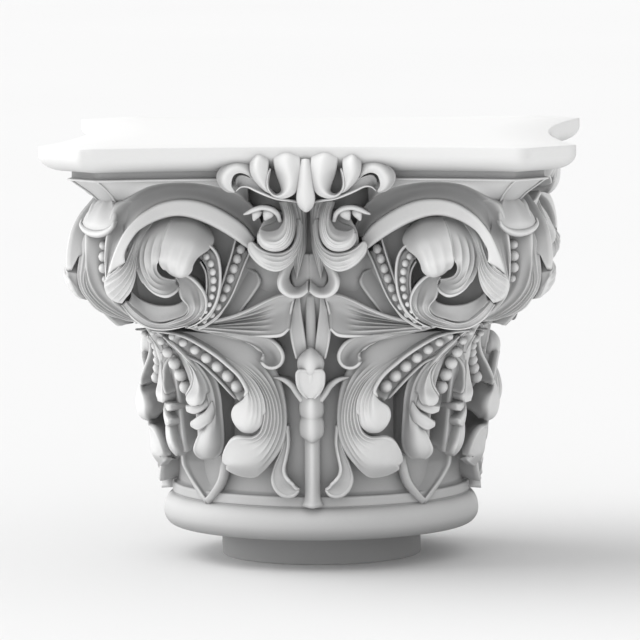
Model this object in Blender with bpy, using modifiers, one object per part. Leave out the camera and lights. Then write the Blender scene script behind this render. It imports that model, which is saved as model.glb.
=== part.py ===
"""Carved stone column capital, as one solid: a concave-sided abacus with cut corners, a fleuron on each side,
scroll roundels at the corners, acanthus leaves round the bell, and a turned neck with a torus and a spigot.

Metres, +Z up. The origin is the centre of the spigot's underside. Each side has the same carving, so it is
drawn once on the right half of one side, mirrored across the corner, and mirrored again in X and Y.
"""

import collections
import math

import bmesh
import bpy
import numpy as np

# Spigot and torus, from the bottom up
SPIGOT_RADIUS = 0.0963
SPIGOT_HEIGHT = 0.030
TORUS_RADIUS = 0.1526
TORUS_HEIGHT = 0.0315
TORUS_SHOULDER = 0.0105
TORUS_BELLY = 0.42
NECK_RADIUS = 0.1440
NECK_HEIGHT = 0.0105
NECK_EDGE = 0.0025

# Bell: the ground that the leaves stand on
BELL_RADIUS = 0.1390
BELL_HEIGHT = 0.3040
BELL_FLARE = 0.0280
BELL_STRAIGHT = 0.42
CORE_SHARE = 0.80
LINING_SHARE = 0.60

# Abacus
ABACUS_HALF_WIDTH = 0.2500
ABACUS_HALF_SIDE = 0.2052
ABACUS_HOLLOW = 0.0280
SLAB_HEIGHT = 0.0070
SLAB_ROUND = 0.0181
SLAB_OVERHANG = 0.0280
SLAB_QUIRK = 0.0055
FILLET_HEIGHT = 0.0075
CAVETTO_HEIGHT = 0.0160
CAVETTO_DEPTH = 0.0215

# Carving
LEAF_THICKNESS = 0.0120
LEAF_CROWN = 0.34
LEAF_ROOT = 0.0080
UNDERCUT = 0.80
FACET = 0.0040
FACETS_KEPT = 0.027
SOFTENING = 4
PINCH_GAP = 0.0002
LOBE_STATIONS = 15
LOBE_POINTS = 7

# The carving is drawn on a grid of its own, a unit to a millimetre of the capital as first made: 250 units
# from the axis to a corner face of the abacus, 139 to the bell, and 72 to 376 from the neck to the abacus.
GRID_HALF_WIDTH = 250.0
GRID_BELL = 139.0
GRID_NECK = 72.0
GRID_TOP = 376.0

TURNED_SIDES = 56
SIDE_STEPS = 10
STONE = (0.80, 0.79, 0.76, 1.0)

TORUS_BOTTOM = SPIGOT_HEIGHT
TORUS_TOP = TORUS_BOTTOM + TORUS_HEIGHT
NECK_TOP = TORUS_TOP + NECK_HEIGHT
BELL_TOP = NECK_TOP + BELL_HEIGHT
FILLET_TOP = BELL_TOP + FILLET_HEIGHT
SLAB_EDGE = FILLET_TOP + SLAB_ROUND
TOP = SLAB_EDGE + SLAB_HEIGHT


def clear_scene():
    """Removes what the startup scene holds."""
    for obj in list(bpy.data.objects):
        bpy.data.objects.remove(obj, do_unlink=True)


def new_collection(name, hidden=False):
    made = bpy.data.collections.new(name)
    made.hide_render = hidden
    bpy.context.scene.collection.children.link(made)
    return made


def stone_material():
    """Pale matt stone."""
    made = bpy.data.materials.new("pale_stone")
    made.use_nodes = True
    shader = made.node_tree.nodes["Principled BSDF"]
    shader.inputs["Base Color"].default_value = STONE
    shader.inputs["Roughness"].default_value = 0.7
    shader.inputs["Metallic"].default_value = 0.0
    return made


def mesh_object(name, points, faces, collection, material):
    mesh = bpy.data.meshes.new(name)
    mesh.from_pydata([tuple(point) for point in points], [], faces)
    mesh.materials.append(material)
    made = bpy.data.objects.new(name, mesh)
    collection.objects.link(made)
    return made


def helper(made):
    made.hide_render = True
    made.display_type = "WIRE"
    return made


def arc(centre, radii, start, end, steps):
    """Points of an elliptic arc in radius and height, angles in degrees from +X."""
    angles = np.radians(np.linspace(start, end, steps + 1))
    return [
        (centre[0] + radii[0] * math.cos(a), centre[1] + radii[1] * math.sin(a))
        for a in angles
    ]


def bell_radius(height):
    """The bell's radius at a height: straight below, then flaring in a quarter curve to the abacus."""
    share = np.clip((height - NECK_TOP) / BELL_HEIGHT, 0, 1)
    rise = np.clip((share - BELL_STRAIGHT) / (1 - BELL_STRAIGHT), 0, 1)
    return BELL_RADIUS + BELL_FLARE * rise**2


def turn(name, profile, collection, material):
    """A solid turned about Z from a profile of radius and height, top to bottom."""
    points = [(radius, 0, height) for radius, height in profile]
    mesh = bpy.data.meshes.new(name)
    mesh.from_pydata(points, [(i, i + 1) for i in range(len(points) - 1)], [])
    mesh.materials.append(material)
    made = bpy.data.objects.new(name, mesh)
    collection.objects.link(made)
    screw = made.modifiers.new("turned", "SCREW")
    screw.steps = screw.render_steps = TURNED_SIDES
    screw.use_merge_vertices = True
    screw.merge_threshold = 0.00005
    return made


def base_profile():
    """Radius and height of the bell's core, the neck, torus and spigot, down the outer side."""
    core = CORE_SHARE * BELL_RADIUS
    widest = TORUS_BOTTOM + TORUS_BELLY * TORUS_HEIGHT
    shoulder = TORUS_RADIUS - TORUS_SHOULDER
    profile = [(0, FILLET_TOP), (core, FILLET_TOP), (core, NECK_TOP)]
    profile += [(NECK_RADIUS - NECK_EDGE, NECK_TOP), (NECK_RADIUS, NECK_TOP - NECK_EDGE), (NECK_RADIUS, TORUS_TOP)]
    profile += arc((shoulder, widest), (TORUS_SHOULDER, TORUS_TOP - widest), 84, 0, 5)
    profile += arc((shoulder, widest), (TORUS_SHOULDER, widest - TORUS_BOTTOM), 0, -90, 4)[1:]
    profile += [(SPIGOT_RADIUS, TORUS_BOTTOM), (SPIGOT_RADIUS, 0), (0, 0)]
    return profile


def bell_sector():
    """The part of the bell behind one corner's carving, from inside the neck to inside the abacus."""
    angles = np.radians(np.linspace(-8, 98, 19))
    heights = np.linspace(TORUS_TOP, FILLET_TOP, 16)
    ring = np.stack([np.sin(angles), -np.cos(angles)], axis=1)
    rows = []
    for height in heights:
        inner = LINING_SHARE * BELL_RADIUS * ring[::-1]
        edge = np.concatenate([bell_radius(height) * ring, inner])
        rows.append(np.column_stack([edge, np.full(len(edge), height)]))
    return shell(np.array(rows))


def abacus_ring(offset):
    """One level of the abacus, set in by an offset from its faces: four hollow sides and four cut corners."""
    half_width = ABACUS_HALF_WIDTH - offset
    half_side = ABACUS_HALF_SIDE - offset * math.tan(math.radians(22.5))
    across = np.linspace(-half_side, half_side, SIDE_STEPS + 1)
    out = half_width - ABACUS_HOLLOW * (1 - (across / half_side) ** 2)
    side = np.stack([across, -out], axis=1)
    quarter = np.array([[0, 1], [-1, 0]])
    ring = []
    turned = np.eye(2)
    for _ in range(4):
        ring.append(side @ turned)
        turned = turned @ quarter
    return np.concatenate(ring)


def abacus(collection, material):
    """The abacus as a loft of its moulding: cavetto, fillet, round and slab edge, from below."""
    levels = []
    for step in range(4):
        rise = step / 3
        set_in = SLAB_OVERHANG + CAVETTO_DEPTH * (1 - math.sin(math.radians(90 * rise)))
        levels.append((set_in, BELL_TOP - CAVETTO_HEIGHT * (1 - rise)))
    levels.append((SLAB_OVERHANG, FILLET_TOP))
    round_in = SLAB_OVERHANG - SLAB_QUIRK
    for step in range(5):
        swing = math.radians(90 * step / 4)
        levels.append((round_in * (1 - math.sin(swing)), SLAB_EDGE - SLAB_ROUND * math.cos(swing)))
    levels.append((0, TOP))
    rings = [abacus_ring(offset) for offset, _ in levels]
    count = len(rings[0])
    points = [(x, y, height) for ring, (_, height) in zip(rings, levels) for x, y in ring]
    faces = []
    for row in range(len(levels) - 1):
        for i in range(count):
            j = (i + 1) % count
            faces.append((row * count + i, row * count + j, (row + 1) * count + j, (row + 1) * count + i))
    faces.append(tuple(reversed(range(count))))
    faces.append(tuple((len(levels) - 1) * count + i for i in range(count)))
    return mesh_object("abacus", points, faces, collection, material)


def spline(stations, count):
    """A smooth curve through the stations, each column by itself."""
    rows = np.asarray(stations, float)
    padded = np.vstack([2 * rows[0] - rows[1], rows, 2 * rows[-1] - rows[-2]])
    along = np.linspace(0, len(rows) - 1, count)
    first = np.minimum(along.astype(int), len(rows) - 2)
    f = (along - first)[:, None]
    a, b, c, d = (padded[first + k] for k in range(4))
    return 0.5 * (2 * b + (c - a) * f + (2 * a - 5 * b + 4 * c - d) * f**2 + (3 * b - a - 3 * c + d) * f**3)


def unit(vectors):
    return vectors / np.maximum(np.linalg.norm(vectors, axis=-1, keepdims=True), 1e-9)


def to_metres(points):
    """Grid points (across, out, up) to metres: up from neck to abacus, and out with the bell and the abacus."""
    share = (points[..., 2] - GRID_NECK) / (GRID_TOP - GRID_NECK)
    blend = np.clip(share, 0, 1)
    low = BELL_RADIUS / GRID_BELL
    high = ABACUS_HALF_WIDTH / GRID_HALF_WIDTH
    scale = low + (high - low) * blend
    up = NECK_TOP + share * BELL_HEIGHT
    return np.stack([points[..., 0] * scale, points[..., 1] * scale, up], axis=-1)


def lobe(stations, tip=0.0, facing=None, crown=1.0, tilt=0.0, deep=None):
    """A leaf lobe as a closed shell round a midrib.

    A station is (across, up, out, half width) on the grid. The front is crowned by a share of the half width,
    the back is narrower, and a tip closes the last share of the length in a round end. deep is how far the
    back lies behind the midrib; without it the back lies in the bell.
    """
    rows = spline(stations, LOBE_STATIONS)
    midrib = rows[:, [0, 2, 1]]
    half = np.maximum(rows[:, 3], 0.3)
    length = np.concatenate([[0], np.cumsum(np.linalg.norm(np.diff(midrib, axis=0), axis=1))])
    share = length / length[-1]
    if tip:
        closing = np.clip((share - 1 + tip) / tip, 0, 1)
        half = half * np.sqrt(np.clip(1 - closing**2, 0.01, 1))
    along = unit(np.gradient(midrib, axis=0))
    out = midrib * (1, 1, 0) if facing is None else np.tile(np.asarray(facing, float), (LOBE_STATIONS, 1))
    out = unit(out)
    across = unit(np.cross(out, along))
    normal = np.cross(along, across)
    cos, sin = math.cos(math.radians(tilt)), math.sin(math.radians(tilt))
    across, normal = across * cos + normal * sin, normal * cos - across * sin
    sweep = np.linspace(-1, 1, LOBE_POINTS)
    drop = LEAF_CROWN * crown * (1 - np.sqrt(1 - (0.95 * sweep) ** 2))
    front = midrib[:, None] + half[:, None, None] * (
        sweep[None, :, None] * across[:, None] - drop[None, :, None] * normal[:, None]
    )
    if deep is None:
        ground = bell_radius(to_metres(midrib)[:, 2]) - LEAF_ROOT
        depth = np.linalg.norm(midrib[:, :2], axis=1) - ground * GRID_BELL / BELL_RADIUS
        depth = np.maximum(depth, LEAF_THICKNESS * GRID_BELL / BELL_RADIUS)
    else:
        depth = np.full(LOBE_STATIONS, float(deep))
    behind = midrib - depth[:, None] * out
    spread = UNDERCUT * half[:, None, None] * np.array([1.0, 0.0, -1.0])[None, :, None]
    back = behind[:, None] + spread * across[:, None]
    return shell(to_metres(np.concatenate([front, back], axis=1)))


def shell(loops):
    """Faces between closed loops of points, one row of the array to a loop, with both ends capped."""
    rows, count = loops.shape[:2]
    faces = []
    for row in range(rows - 1):
        for i in range(count):
            j = (i + 1) % count
            faces.append((row * count + i, (row + 1) * count + i, (row + 1) * count + j, row * count + j))
    faces.append(tuple(range(count)))
    faces.append(tuple((rows - 1) * count + i for i in reversed(range(count))))
    return loops.reshape(-1, 3), faces


def bead(centre, radius):
    """A round bead at (across, up, out), with eight sides."""
    rings, sides = 5, 8
    points, faces = [], []
    for ring in range(rings + 1):
        swing = math.pi * ring / rings
        for side in range(sides):
            spin = 2 * math.pi * side / sides
            offset = (math.sin(swing) * math.cos(spin), math.sin(swing) * math.sin(spin), math.cos(swing))
            points.append(np.array([centre[0], centre[2], centre[1]]) + radius * np.array(offset))
    for ring in range(rings):
        for side in range(sides):
            j = (side + 1) % sides
            faces.append((ring * sides + side, (ring + 1) * sides + side, (ring + 1) * sides + j, ring * sides + j))
    return to_metres(np.array(points)), faces


def strand(stations, radii, count):
    """Beads along a midrib, from one radius to another."""
    rows = spline(stations, count)
    sizes = np.linspace(radii[0], radii[1], count)
    return [bead(row[:3], size) for row, size in zip(rows, sizes)]


OUT = (0.0, 1.0, 0.0)
CORNER = (1.0, 1.0, 0.0)
ROUNDEL_OUT = (-0.15, 1.0, 0.0)


def main_leaf():
    """The large leaf that falls from the corner towards the stem: its body and three curling lobes."""
    return [
        lobe([(131, 230, 167, 3), (112, 219, 166, 7), (90, 205, 168, 12), (66, 190, 173, 17), (49, 172, 175, 19),
              (46, 155, 170, 19), (50, 140, 162, 15)]),
        lobe([(80, 203, 172, 6), (63, 188, 176, 11), (55, 170, 178, 15), (56, 153, 177, 18), (60, 141, 172, 18),
              (62, 133, 160, 16)], tip=0.3),
        lobe([(38, 185, 160, 7), (31, 160, 162, 8), (32, 138, 161, 9), (42, 121, 162, 13), (55, 111, 163, 19),
              (70, 109, 159, 20), (86, 110, 145, 19)], tip=0.3),
        lobe([(29, 160, 153, 4), (25, 138, 150, 4), (27, 116, 150, 5), (32, 98, 152, 5), (32, 86, 155, 6.5),
              (25, 78, 156, 6), (13, 81, 152, 5)], tip=0.25),
    ]


def second_leaf():
    """The narrower leaf beside the corner strand, with two lobes on its outer edge."""
    return [
        lobe([(112, 206, 146, 4), (104, 192, 145, 10), (98, 170, 143, 14), (97, 148, 142, 14), (98, 128, 140, 15),
              (101, 115, 138, 14), (102, 106, 134, 13)], tip=0.25),
        lobe([(107, 203, 146, 4), (105, 188, 142, 9), (109, 174, 142, 11), (114, 165, 144, 10), (117, 159, 140, 9)],
             tip=0.3),
        lobe([(92, 160, 141, 7), (98, 150, 142, 9), (106, 144, 141, 9), (118, 143, 134, 7)], tip=0.4),
    ]


def side_strand():
    """The bead channel between the two leaves."""
    midrib = [(143, 229.5, 170, 2), (127, 218, 160, 6), (113, 210, 154, 7.5), (99, 203, 151, 9), (84, 192, 151, 10),
              (72, 179, 152, 10), (65, 169, 150, 7)]
    channel = [(across, up, out - 5, half) for across, up, out, half in midrib]
    return [lobe(channel, crown=0.2)] + strand(midrib, (3.5, 6.5), 7)


def corner_strand():
    """The bead channel down the corner, between two ridges."""
    midrib = [(155, 236, 155, 3), (146, 226, 146, 6), (139, 215, 139, 13), (133, 203, 133, 20), (127, 190, 127, 24),
              (122, 176, 122, 20)]
    return [lobe(midrib, facing=CORNER, crown=-0.9)] + strand(midrib[1:], (4.0, 7.0), 5)


def pointed_leaf():
    """The leaf at the foot of each corner, pointing down."""
    return [
        lobe([(112, 112, 112, 30), (107, 97, 107, 30), (105, 82, 105, 22), (104.5, 70, 104.5, 11),
              (104.5, 61, 104.5, 2)], facing=CORNER, crown=-0.5)
    ]


def fan_leaf():
    """The leaf that fans from the corner towards the centre above the main leaf, and the curl below it."""
    return [
        lobe([(114, 237, 168, 2), (88, 238, 170, 6), (62, 241, 174, 11), (42, 245, 179, 16), (27, 247, 181, 18),
              (15, 246, 176, 17)], tip=0.12),
        lobe([(100, 241, 166, 3), (80, 248, 166, 6), (62, 263, 166, 9), (53, 277, 168, 8), (56, 290, 172, 5)],
             tip=0.3),
        lobe([(100, 230, 160, 3), (76, 228, 163, 4), (56, 225, 166, 5), (40, 217, 168, 6), (33, 206, 169, 6),
              (37, 199, 169, 4.5), (46, 201, 166, 4)], tip=0.15),
    ]


def stem():
    """The centre stem with its collar, calyx, side leaves, bud and sheath."""
    return [
        lobe([(0, 62, 150, 10), (0, 75, 149, 8.5), (0, 130, 149, 8.5)], crown=2.4),
        lobe([(0, 129, 152, 9), (0, 136, 156, 13), (0, 145, 156, 13), (0, 151, 153, 11)], crown=2.0),
        lobe([(0, 149, 156, 11), (0, 160, 161, 14), (0, 178, 162, 13), (0, 190, 166, 14), (0, 197, 170, 12)],
             crown=1.6),
        lobe([(8, 168, 158, 3), (18, 179, 158, 3), (26, 184, 157, 3), (36, 186, 152, 2.5)], tip=0.4),
        lobe([(0, 194, 168, 12), (0, 203, 175, 15), (0, 212, 173, 9)], crown=2.0),
        lobe([(6, 205, 169, 8), (11, 225, 172, 7), (13, 240, 176, 6), (13, 253, 180, 5), (10, 268, 184, 4)]),
    ]


def centre_leaf():
    """One of the pair of leaves under the fleuron."""
    return [
        lobe([(10, 360, 204, 6), (7, 340, 196, 7), (8, 320, 192, 8), (10, 300, 190, 9), (13, 287, 190, 12),
              (14, 275, 189, 13), (12, 264, 188, 12)], facing=OUT, tip=0.15),
        lobe([(11, 350, 205, 8), (14, 332, 212, 13), (24, 326, 220, 13), (36, 326, 222, 12), (47, 327, 216, 11)],
             facing=OUT, tip=0.35),
        lobe([(9, 334, 197, 6), (11, 314, 202, 9), (22, 303, 208, 10), (38, 301, 211, 9), (54, 311, 206, 7)],
             facing=OUT, tip=0.3),
        lobe([(28, 338, 210, 3), (32, 347, 212, 3.5), (41, 351.5, 213, 3.5), (50, 349, 212, 3.5), (60, 345, 208, 3)],
             facing=OUT, tip=0.3, deep=40),
    ]


def fleuron():
    """The flower in the middle of each side of the abacus."""
    return [
        lobe([(0, 397, 230, 4), (0, 385, 234, 6), (0, 370, 232, 10), (0, 357, 227, 13), (0, 347, 220, 12)],
             facing=OUT, tip=0.3, deep=30),
        lobe([(13, 402, 222, 5), (17, 390, 230, 8), (18, 376, 232, 10), (18, 362, 228, 9)], facing=OUT, tip=0.3,
             deep=30),
        lobe([(33, 401, 222, 8), (39, 391, 230, 11), (39, 380, 231, 10), (34, 368, 227, 8)], facing=OUT, tip=0.3,
             deep=30),
        lobe([(48, 385, 226, 5), (60, 390, 228, 5), (72, 388, 228, 7), (77, 379, 227, 7), (72, 371, 225, 6),
              (63, 367, 222, 4)], facing=OUT, tip=0.2, deep=24),
        lobe([(0, 357, 220, 4), (25, 362, 222, 4), (40, 367, 220, 4), (55, 375, 218, 4), (66, 374, 216, 3)],
             facing=OUT, deep=30),
    ]


def roundel():
    """The scroll at the corner: floor, strap, hood, rings and the leaf that fills it."""
    strap = [(50, 313, 193, 8), (77.5, 336.5, 197, 8.5), (107.5, 349.5, 201, 8), (135, 349, 205, 8),
             (161, 334, 210, 8), (176, 308, 213, 8), (183, 288, 213, 6)]
    hood = [(58, 334, 186, 9), (85, 357, 187, 11), (110, 367, 188, 12), (140, 365, 190, 12), (168, 347, 192, 12),
            (185, 316, 196, 9), (190, 292, 198, 6)]
    return [
        lobe([(122, 236, 180, 12), (120, 256, 178, 38), (118, 290, 176, 50), (116, 320, 176, 48), (115, 345, 176, 30),
              (114, 366, 176, 26)], facing=OUT, crown=0.1),
        lobe(strap, facing=ROUNDEL_OUT, crown=0.05, deep=34),
        lobe(hood, facing=ROUNDEL_OUT, crown=0.1, tilt=-38, deep=40),
        lobe([(115, 338, 178, 12), (116, 325, 202, 24), (119, 311, 220, 24), (121, 298, 224, 17), (121, 287, 214, 14)],
             facing=OUT, tip=0.3, deep=30),
        lobe([(138, 334, 180, 8), (148, 322, 204, 10), (151, 306, 216, 10), (149, 290, 219, 10), (142, 278, 218, 9),
              (132, 274, 213, 8), (121, 279, 206, 6)], facing=OUT, tip=0.25, deep=26),
        lobe([(158, 332, 184, 6), (167, 316, 205, 8), (170, 300, 216, 12), (172, 286, 222, 17), (174, 273, 220, 18),
              (176, 260, 211, 14)], facing=OUT, tip=0.3, deep=34),
        lobe([(116, 288, 190, 5), (107, 279, 192, 7), (102, 268, 197, 6.5), (104, 254, 202, 6.5), (115, 243, 206, 6.5),
              (133, 237, 209, 5), (150, 240, 210, 5), (161, 248, 209, 5), (174, 261, 208, 4)], facing=OUT, deep=34),
        lobe([(104, 309, 193, 4), (93, 306, 192, 7), (88, 292, 191, 7), (87, 278, 191, 7), (90, 264, 190, 6),
              (96, 252, 188, 5), (106, 243, 184, 4), (116, 238, 180, 3)], facing=OUT, crown=0.6, deep=30),
        lobe([(56, 324, 176, 6), (66, 298, 176, 7), (73, 282, 177, 7), (80, 267, 177, 6), (88, 253, 176, 5),
              (98, 243, 173, 4), (110, 237, 171, 3)], facing=OUT, crown=0.6),
    ]


def corner_volute():
    """The fluted back of the two roundels where they meet, with a small leaf cap and beads."""
    return [
        lobe([(188, 374, 188, 10), (190, 355, 190, 13), (193, 330, 193, 17), (198, 300, 198, 18), (198, 280, 198, 17),
              (190, 262, 190, 13), (172, 248, 172, 9), (157, 238, 157, 6)], facing=CORNER, crown=-0.4),
        lobe([(186, 366, 186, 10), (192.5, 348, 192.5, 17), (198, 337, 198, 19), (203, 327, 203, 17)], facing=CORNER,
             tip=0.25, deep=30),
    ]


def both_sides_of_corner(pieces):
    """Grid pieces, in metres, placed on the front side and mirrored across the corner onto the next side."""
    placed = []
    for points, faces in pieces:
        placed.append((points * (1, -1, 1), [tuple(reversed(face)) for face in faces]))
        placed.append((points[:, [1, 0, 2]] * (1, -1, 1), faces))
    return placed


def on_corner(pieces):
    return [(points * (1, -1, 1), [tuple(reversed(face)) for face in faces]) for points, faces in pieces]


def without_fins(faces):
    """The triangles, without pairs that lie back to back on the same three corners."""
    met = collections.Counter(frozenset(face) for face in faces)
    return [face for face in faces if len(set(face)) == 3 and met[frozenset(face)] == 1]


def without_crowded_edges(faces):
    """The triangles, with each edge that more than two of them share shrunk to a point."""
    faces = without_fins(faces)
    while True:
        shared = collections.Counter(frozenset(pair) for a, b, c in faces for pair in ((a, b), (b, c), (c, a)))
        crowded = [sorted(edge) for edge, count in shared.items() if count > 2]
        if not crowded:
            return faces
        kept, lost = crowded[0]
        faces = without_fins([tuple(kept if corner == lost else corner for corner in face) for face in faces])


def fans(corner, around):
    """The faces round a corner, in groups that share an edge from it."""
    groups = []
    for face in around:
        ends = set(face) - {corner}
        touching = [group for group in groups if group[0] & ends]
        for group in touching:
            groups.remove(group)
            ends |= group[0]
        groups.append((ends, [face] + [other for group in touching for other in group[1]]))
    return [group[1] for group in groups]


def part_pinches(points, faces):
    """Where the skin touches itself at one point, each sheet gets a point of its own, drawn back inwards."""
    points = list(points)
    faces = without_crowded_edges(faces)
    around = {}
    for face in faces:
        for corner in face:
            around.setdefault(corner, []).append(face)
    swaps = {}
    for corner, near in around.items():
        sheets = fans(corner, near)
        if len(sheets) == 1:
            continue
        for sheet in sheets:
            a, b, c = (np.array([points[face[k]] for face in sheet]) for k in range(3))
            normal = unit(np.cross(b - a, c - a).sum(axis=0))
            points.append(points[corner] - PINCH_GAP * normal)
            for face in sheet:
                swaps.setdefault(face, {})[corner] = len(points) - 1
    parted = [tuple(swaps.get(face, {}).get(corner, corner) for corner in face) for face in faces]
    used = sorted({corner for face in parted for corner in face})
    place = {corner: i for i, corner in enumerate(used)}
    return [points[corner] for corner in used], [tuple(place[corner] for corner in face) for face in parted]


def finished_skin(made):
    """The points and triangles of an object after its modifiers."""
    graph = bpy.context.evaluated_depsgraph_get()
    mesh = made.evaluated_get(graph).to_mesh()
    mesh.calc_loop_triangles()
    points = np.array([tuple(vertex.co) for vertex in mesh.vertices])
    faces = [tuple(triangle.vertices) for triangle in mesh.loop_triangles]
    return points, faces


def carving(collection, material):
    """The leaves and scrolls of one corner, mirrored to all four, fused with the bell and thinned to facets."""
    halves = main_leaf() + second_leaf() + side_strand() + fan_leaf() + stem() + centre_leaf() + fleuron()
    pieces = both_sides_of_corner(halves + roundel())
    pieces += on_corner(corner_strand() + pointed_leaf() + corner_volute())
    pieces.append(bell_sector())
    sheet = bmesh.new()
    for points, faces in pieces:
        corners = [sheet.verts.new(point) for point in points]
        for face in faces:
            sheet.faces.new([corners[i] for i in face])
    mesh = bpy.data.meshes.new("corner_pieces")
    sheet.to_mesh(mesh)
    sheet.free()
    made = helper(bpy.data.objects.new("corner_pieces", mesh))
    collection.objects.link(made)
    mirror = made.modifiers.new("four_corners", "MIRROR")
    mirror.use_axis = (True, True, False)
    mirror.use_mirror_merge = False
    fuse = made.modifiers.new("fused", "REMESH")
    fuse.mode = "VOXEL"
    fuse.voxel_size = FACET
    soften = made.modifiers.new("softened", "SMOOTH")
    soften.iterations = SOFTENING
    thin = made.modifiers.new("faceted", "DECIMATE")
    thin.ratio = FACETS_KEPT
    bpy.context.view_layer.update()
    points, faces = part_pinches(*finished_skin(made))
    bpy.data.objects.remove(made)
    return helper(mesh_object("carving", points, faces, collection, material))


def join(made, other):
    step = made.modifiers.new("join_" + other.name, "BOOLEAN")
    step.operation = "UNION"
    step.solver = "EXACT"
    step.object = other


def main():
    clear_scene()
    shown = new_collection("column_capital")
    tools = new_collection("helpers")
    stone = stone_material()
    capital = turn("capital", base_profile(), shown, stone)
    join(capital, helper(abacus(tools, stone)))
    join(capital, carving(tools, stone))


main()
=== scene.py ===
"""Visual model of a carved stone column capital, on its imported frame.

The carving of one side is drawn once, on its right half, in millimetres of the capital as first made: x
across from the side's middle, z up from the underside of the spigot, y out from the column's axis. A
station is (x, z, y), because that is how the carving is read from the front, and a rail or a midrib is a
list of stations. The frame's own size turns these into metres.
"""

import math

import bpy
import numpy as np
from bpy.props import FloatProperty, FloatVectorProperty, PointerProperty
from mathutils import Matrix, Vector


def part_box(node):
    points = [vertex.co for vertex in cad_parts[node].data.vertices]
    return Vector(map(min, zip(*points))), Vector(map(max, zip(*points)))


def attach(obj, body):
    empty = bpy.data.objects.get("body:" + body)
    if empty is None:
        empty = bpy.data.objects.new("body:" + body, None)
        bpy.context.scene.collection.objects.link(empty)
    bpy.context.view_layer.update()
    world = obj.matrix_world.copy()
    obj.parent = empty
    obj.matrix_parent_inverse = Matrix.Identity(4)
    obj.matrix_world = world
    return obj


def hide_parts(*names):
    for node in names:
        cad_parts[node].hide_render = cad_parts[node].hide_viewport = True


bl_info = {
    "name": "Carved Capital",
    "version": (1, 0, 0),
    "blender": (4, 5, 0),
    "location": "3D View > Sidebar > Capital",
    "description": "Builds the acanthus capital's abacus, bell, leaves and scrolls",
    "category": "Add Mesh",
}

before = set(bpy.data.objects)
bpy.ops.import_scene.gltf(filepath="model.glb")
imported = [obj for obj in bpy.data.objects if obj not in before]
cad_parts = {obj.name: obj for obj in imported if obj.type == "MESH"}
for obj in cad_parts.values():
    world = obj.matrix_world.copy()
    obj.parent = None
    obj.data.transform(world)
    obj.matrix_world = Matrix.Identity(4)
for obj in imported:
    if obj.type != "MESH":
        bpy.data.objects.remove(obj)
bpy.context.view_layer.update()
NODE = "capital"
LOW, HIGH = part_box(NODE)
WIDE_MM = 500.0
TALL_MM = 408.6
METRES = np.array([(HIGH.x - LOW.x) / WIDE_MM, (HIGH.y - LOW.y) / WIDE_MM, (HIGH.z - LOW.z) / TALL_MM])

# Heights and radii of the turned parts, in millimetres
SPIGOT_TOP = 30.0
TORUS_MIDDLE = 43.2
TORUS_TOP = 61.5
NECK_TOP = 72.0
BELL_TOP = 376.0
SPIGOT_RADIUS = 96.3
SPIGOT_ROUND = 1.5
TORUS_RADIUS = 152.6
TORUS_BULGE = 11.5
NECK_RADIUS = 144.0
NECK_ROUND = 2.0
BELL_RADIUS = 139.0
BELL_FLARE = 31.0
BELL_STRAIGHT = 0.40
BELL_FULL = 0.74
BED_MIDDLE = 118.0
TURNED_SIDES = 192
TORUS_STEPS = 14
SMALL_STEPS = 4
BELL_STEPS = 16

# Abacus, in millimetres, with the angle by which a level's corners draw in, and the steps along its sides,
# its cut corners and the round under its slab
ABACUS_HALF = 250.0
ABACUS_SIDE = 205.2
ABACUS_HOLLOW = 28.0
CORNER_ANGLE = math.radians(22.5)
FILLET_FOOT = 376.0
FILLET_EDGE = 378.2
FILLET_IN = 25.7
BAND_IN = 29.6
ROUND_FOOT = 384.8
ROUND_TALL = 15.5
ROUND_IN = 26.0
SIDE_STEPS = 36
CUT_STEPS = 6
ROUND_STEPS = 16

# Ways that a form can face
ROUND = None
OUT = (0.0, 1.0, 0.0)
CORNER = (1.0, 1.0, 0.0)

# Leaves: the power of their flutes, and what is left of a closed tip's width, squared
FLUTE_POWER = 0.9
TIP_SHARE = 0.003

# Sides of a leaf: how far away a held one counts, in millimetres, and the shares over which it comes free
HELD_AWAY = 50.0
FREE_FROM = 0.06
FREE_PAST = 0.001

# Backs of the leaves, in millimetres, then as shares of their width and depth
BACK_IN_BELL = 14.0
LEAST_DEPTH = 8.0
LIP_WIDTH = 0.96
NECK_SHARE = 0.6
NECK_DEPTH = 0.3

# Fineness of a curve, a midrib and a bead
CURVE_STEPS = 16
MIDRIB_STEPS = 12
BEAD_RINGS = 6
BEAD_SIDES = 10

# Finish of the stone, with painted shade in its hollows and a painted highlight on its ridges: scales are
# per metre
CLOUD_SCALE = 9.0
CLOUD_SHADE = 0.03
CLOUD_ROUGHNESS = 0.15
GRAIN_SCALE = 900.0
GRAIN_DEPTH = 0.0002
GRAIN_STRENGTH = 0.12
# Painted shade: power on the ambient occlusion's open share
PAINTED_SHADE_POWER = 2.6
# Painted highlight: how much pointiness lightens convex ridges
RIDGE_PAINTED_HIGHLIGHT = 3.0
ROUGHNESS = 0.62
SPECULAR = 0.3


class CarvingSettings(bpy.types.PropertyGroup):
    """Depths of the carving, as shares of the drawn ones."""

    flute: FloatProperty(
        name="Flute depth", description="Depth of the flutes in a leaf, against the drawing", default=1.0
    )
    edge: FloatProperty(
        name="Edge", description="Roundness of a leaf's edge, against the drawing", default=1.0
    )
    bead: FloatProperty(name="Bead", description="Size of the beads, against the drawing", default=1.0)


class StoneSettings(bpy.types.PropertyGroup):
    """Colours of the stone, and of the shade painted into its recesses."""

    light: FloatVectorProperty(
        name="Stone",
        description="Colour of the open faces",
        subtype="COLOR",
        size=4,
        default=(0.84, 0.84, 0.837, 1),
    )
    # Painted shade: the colour mixed in where ambient occlusion finds recesses
    painted_shade_colour: FloatVectorProperty(
        name="Recess",
        description="Colour of the deep recesses",
        subtype="COLOR",
        size=4,
        default=(0.32, 0.32, 0.321, 1),
    )
    # How far the ambient occlusion behind the painted shade looks for a wall
    painted_shade_reach: FloatProperty(
        name="Recess reach", description="How far a recess looks for a wall", default=0.16, unit="LENGTH"
    )


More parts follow.
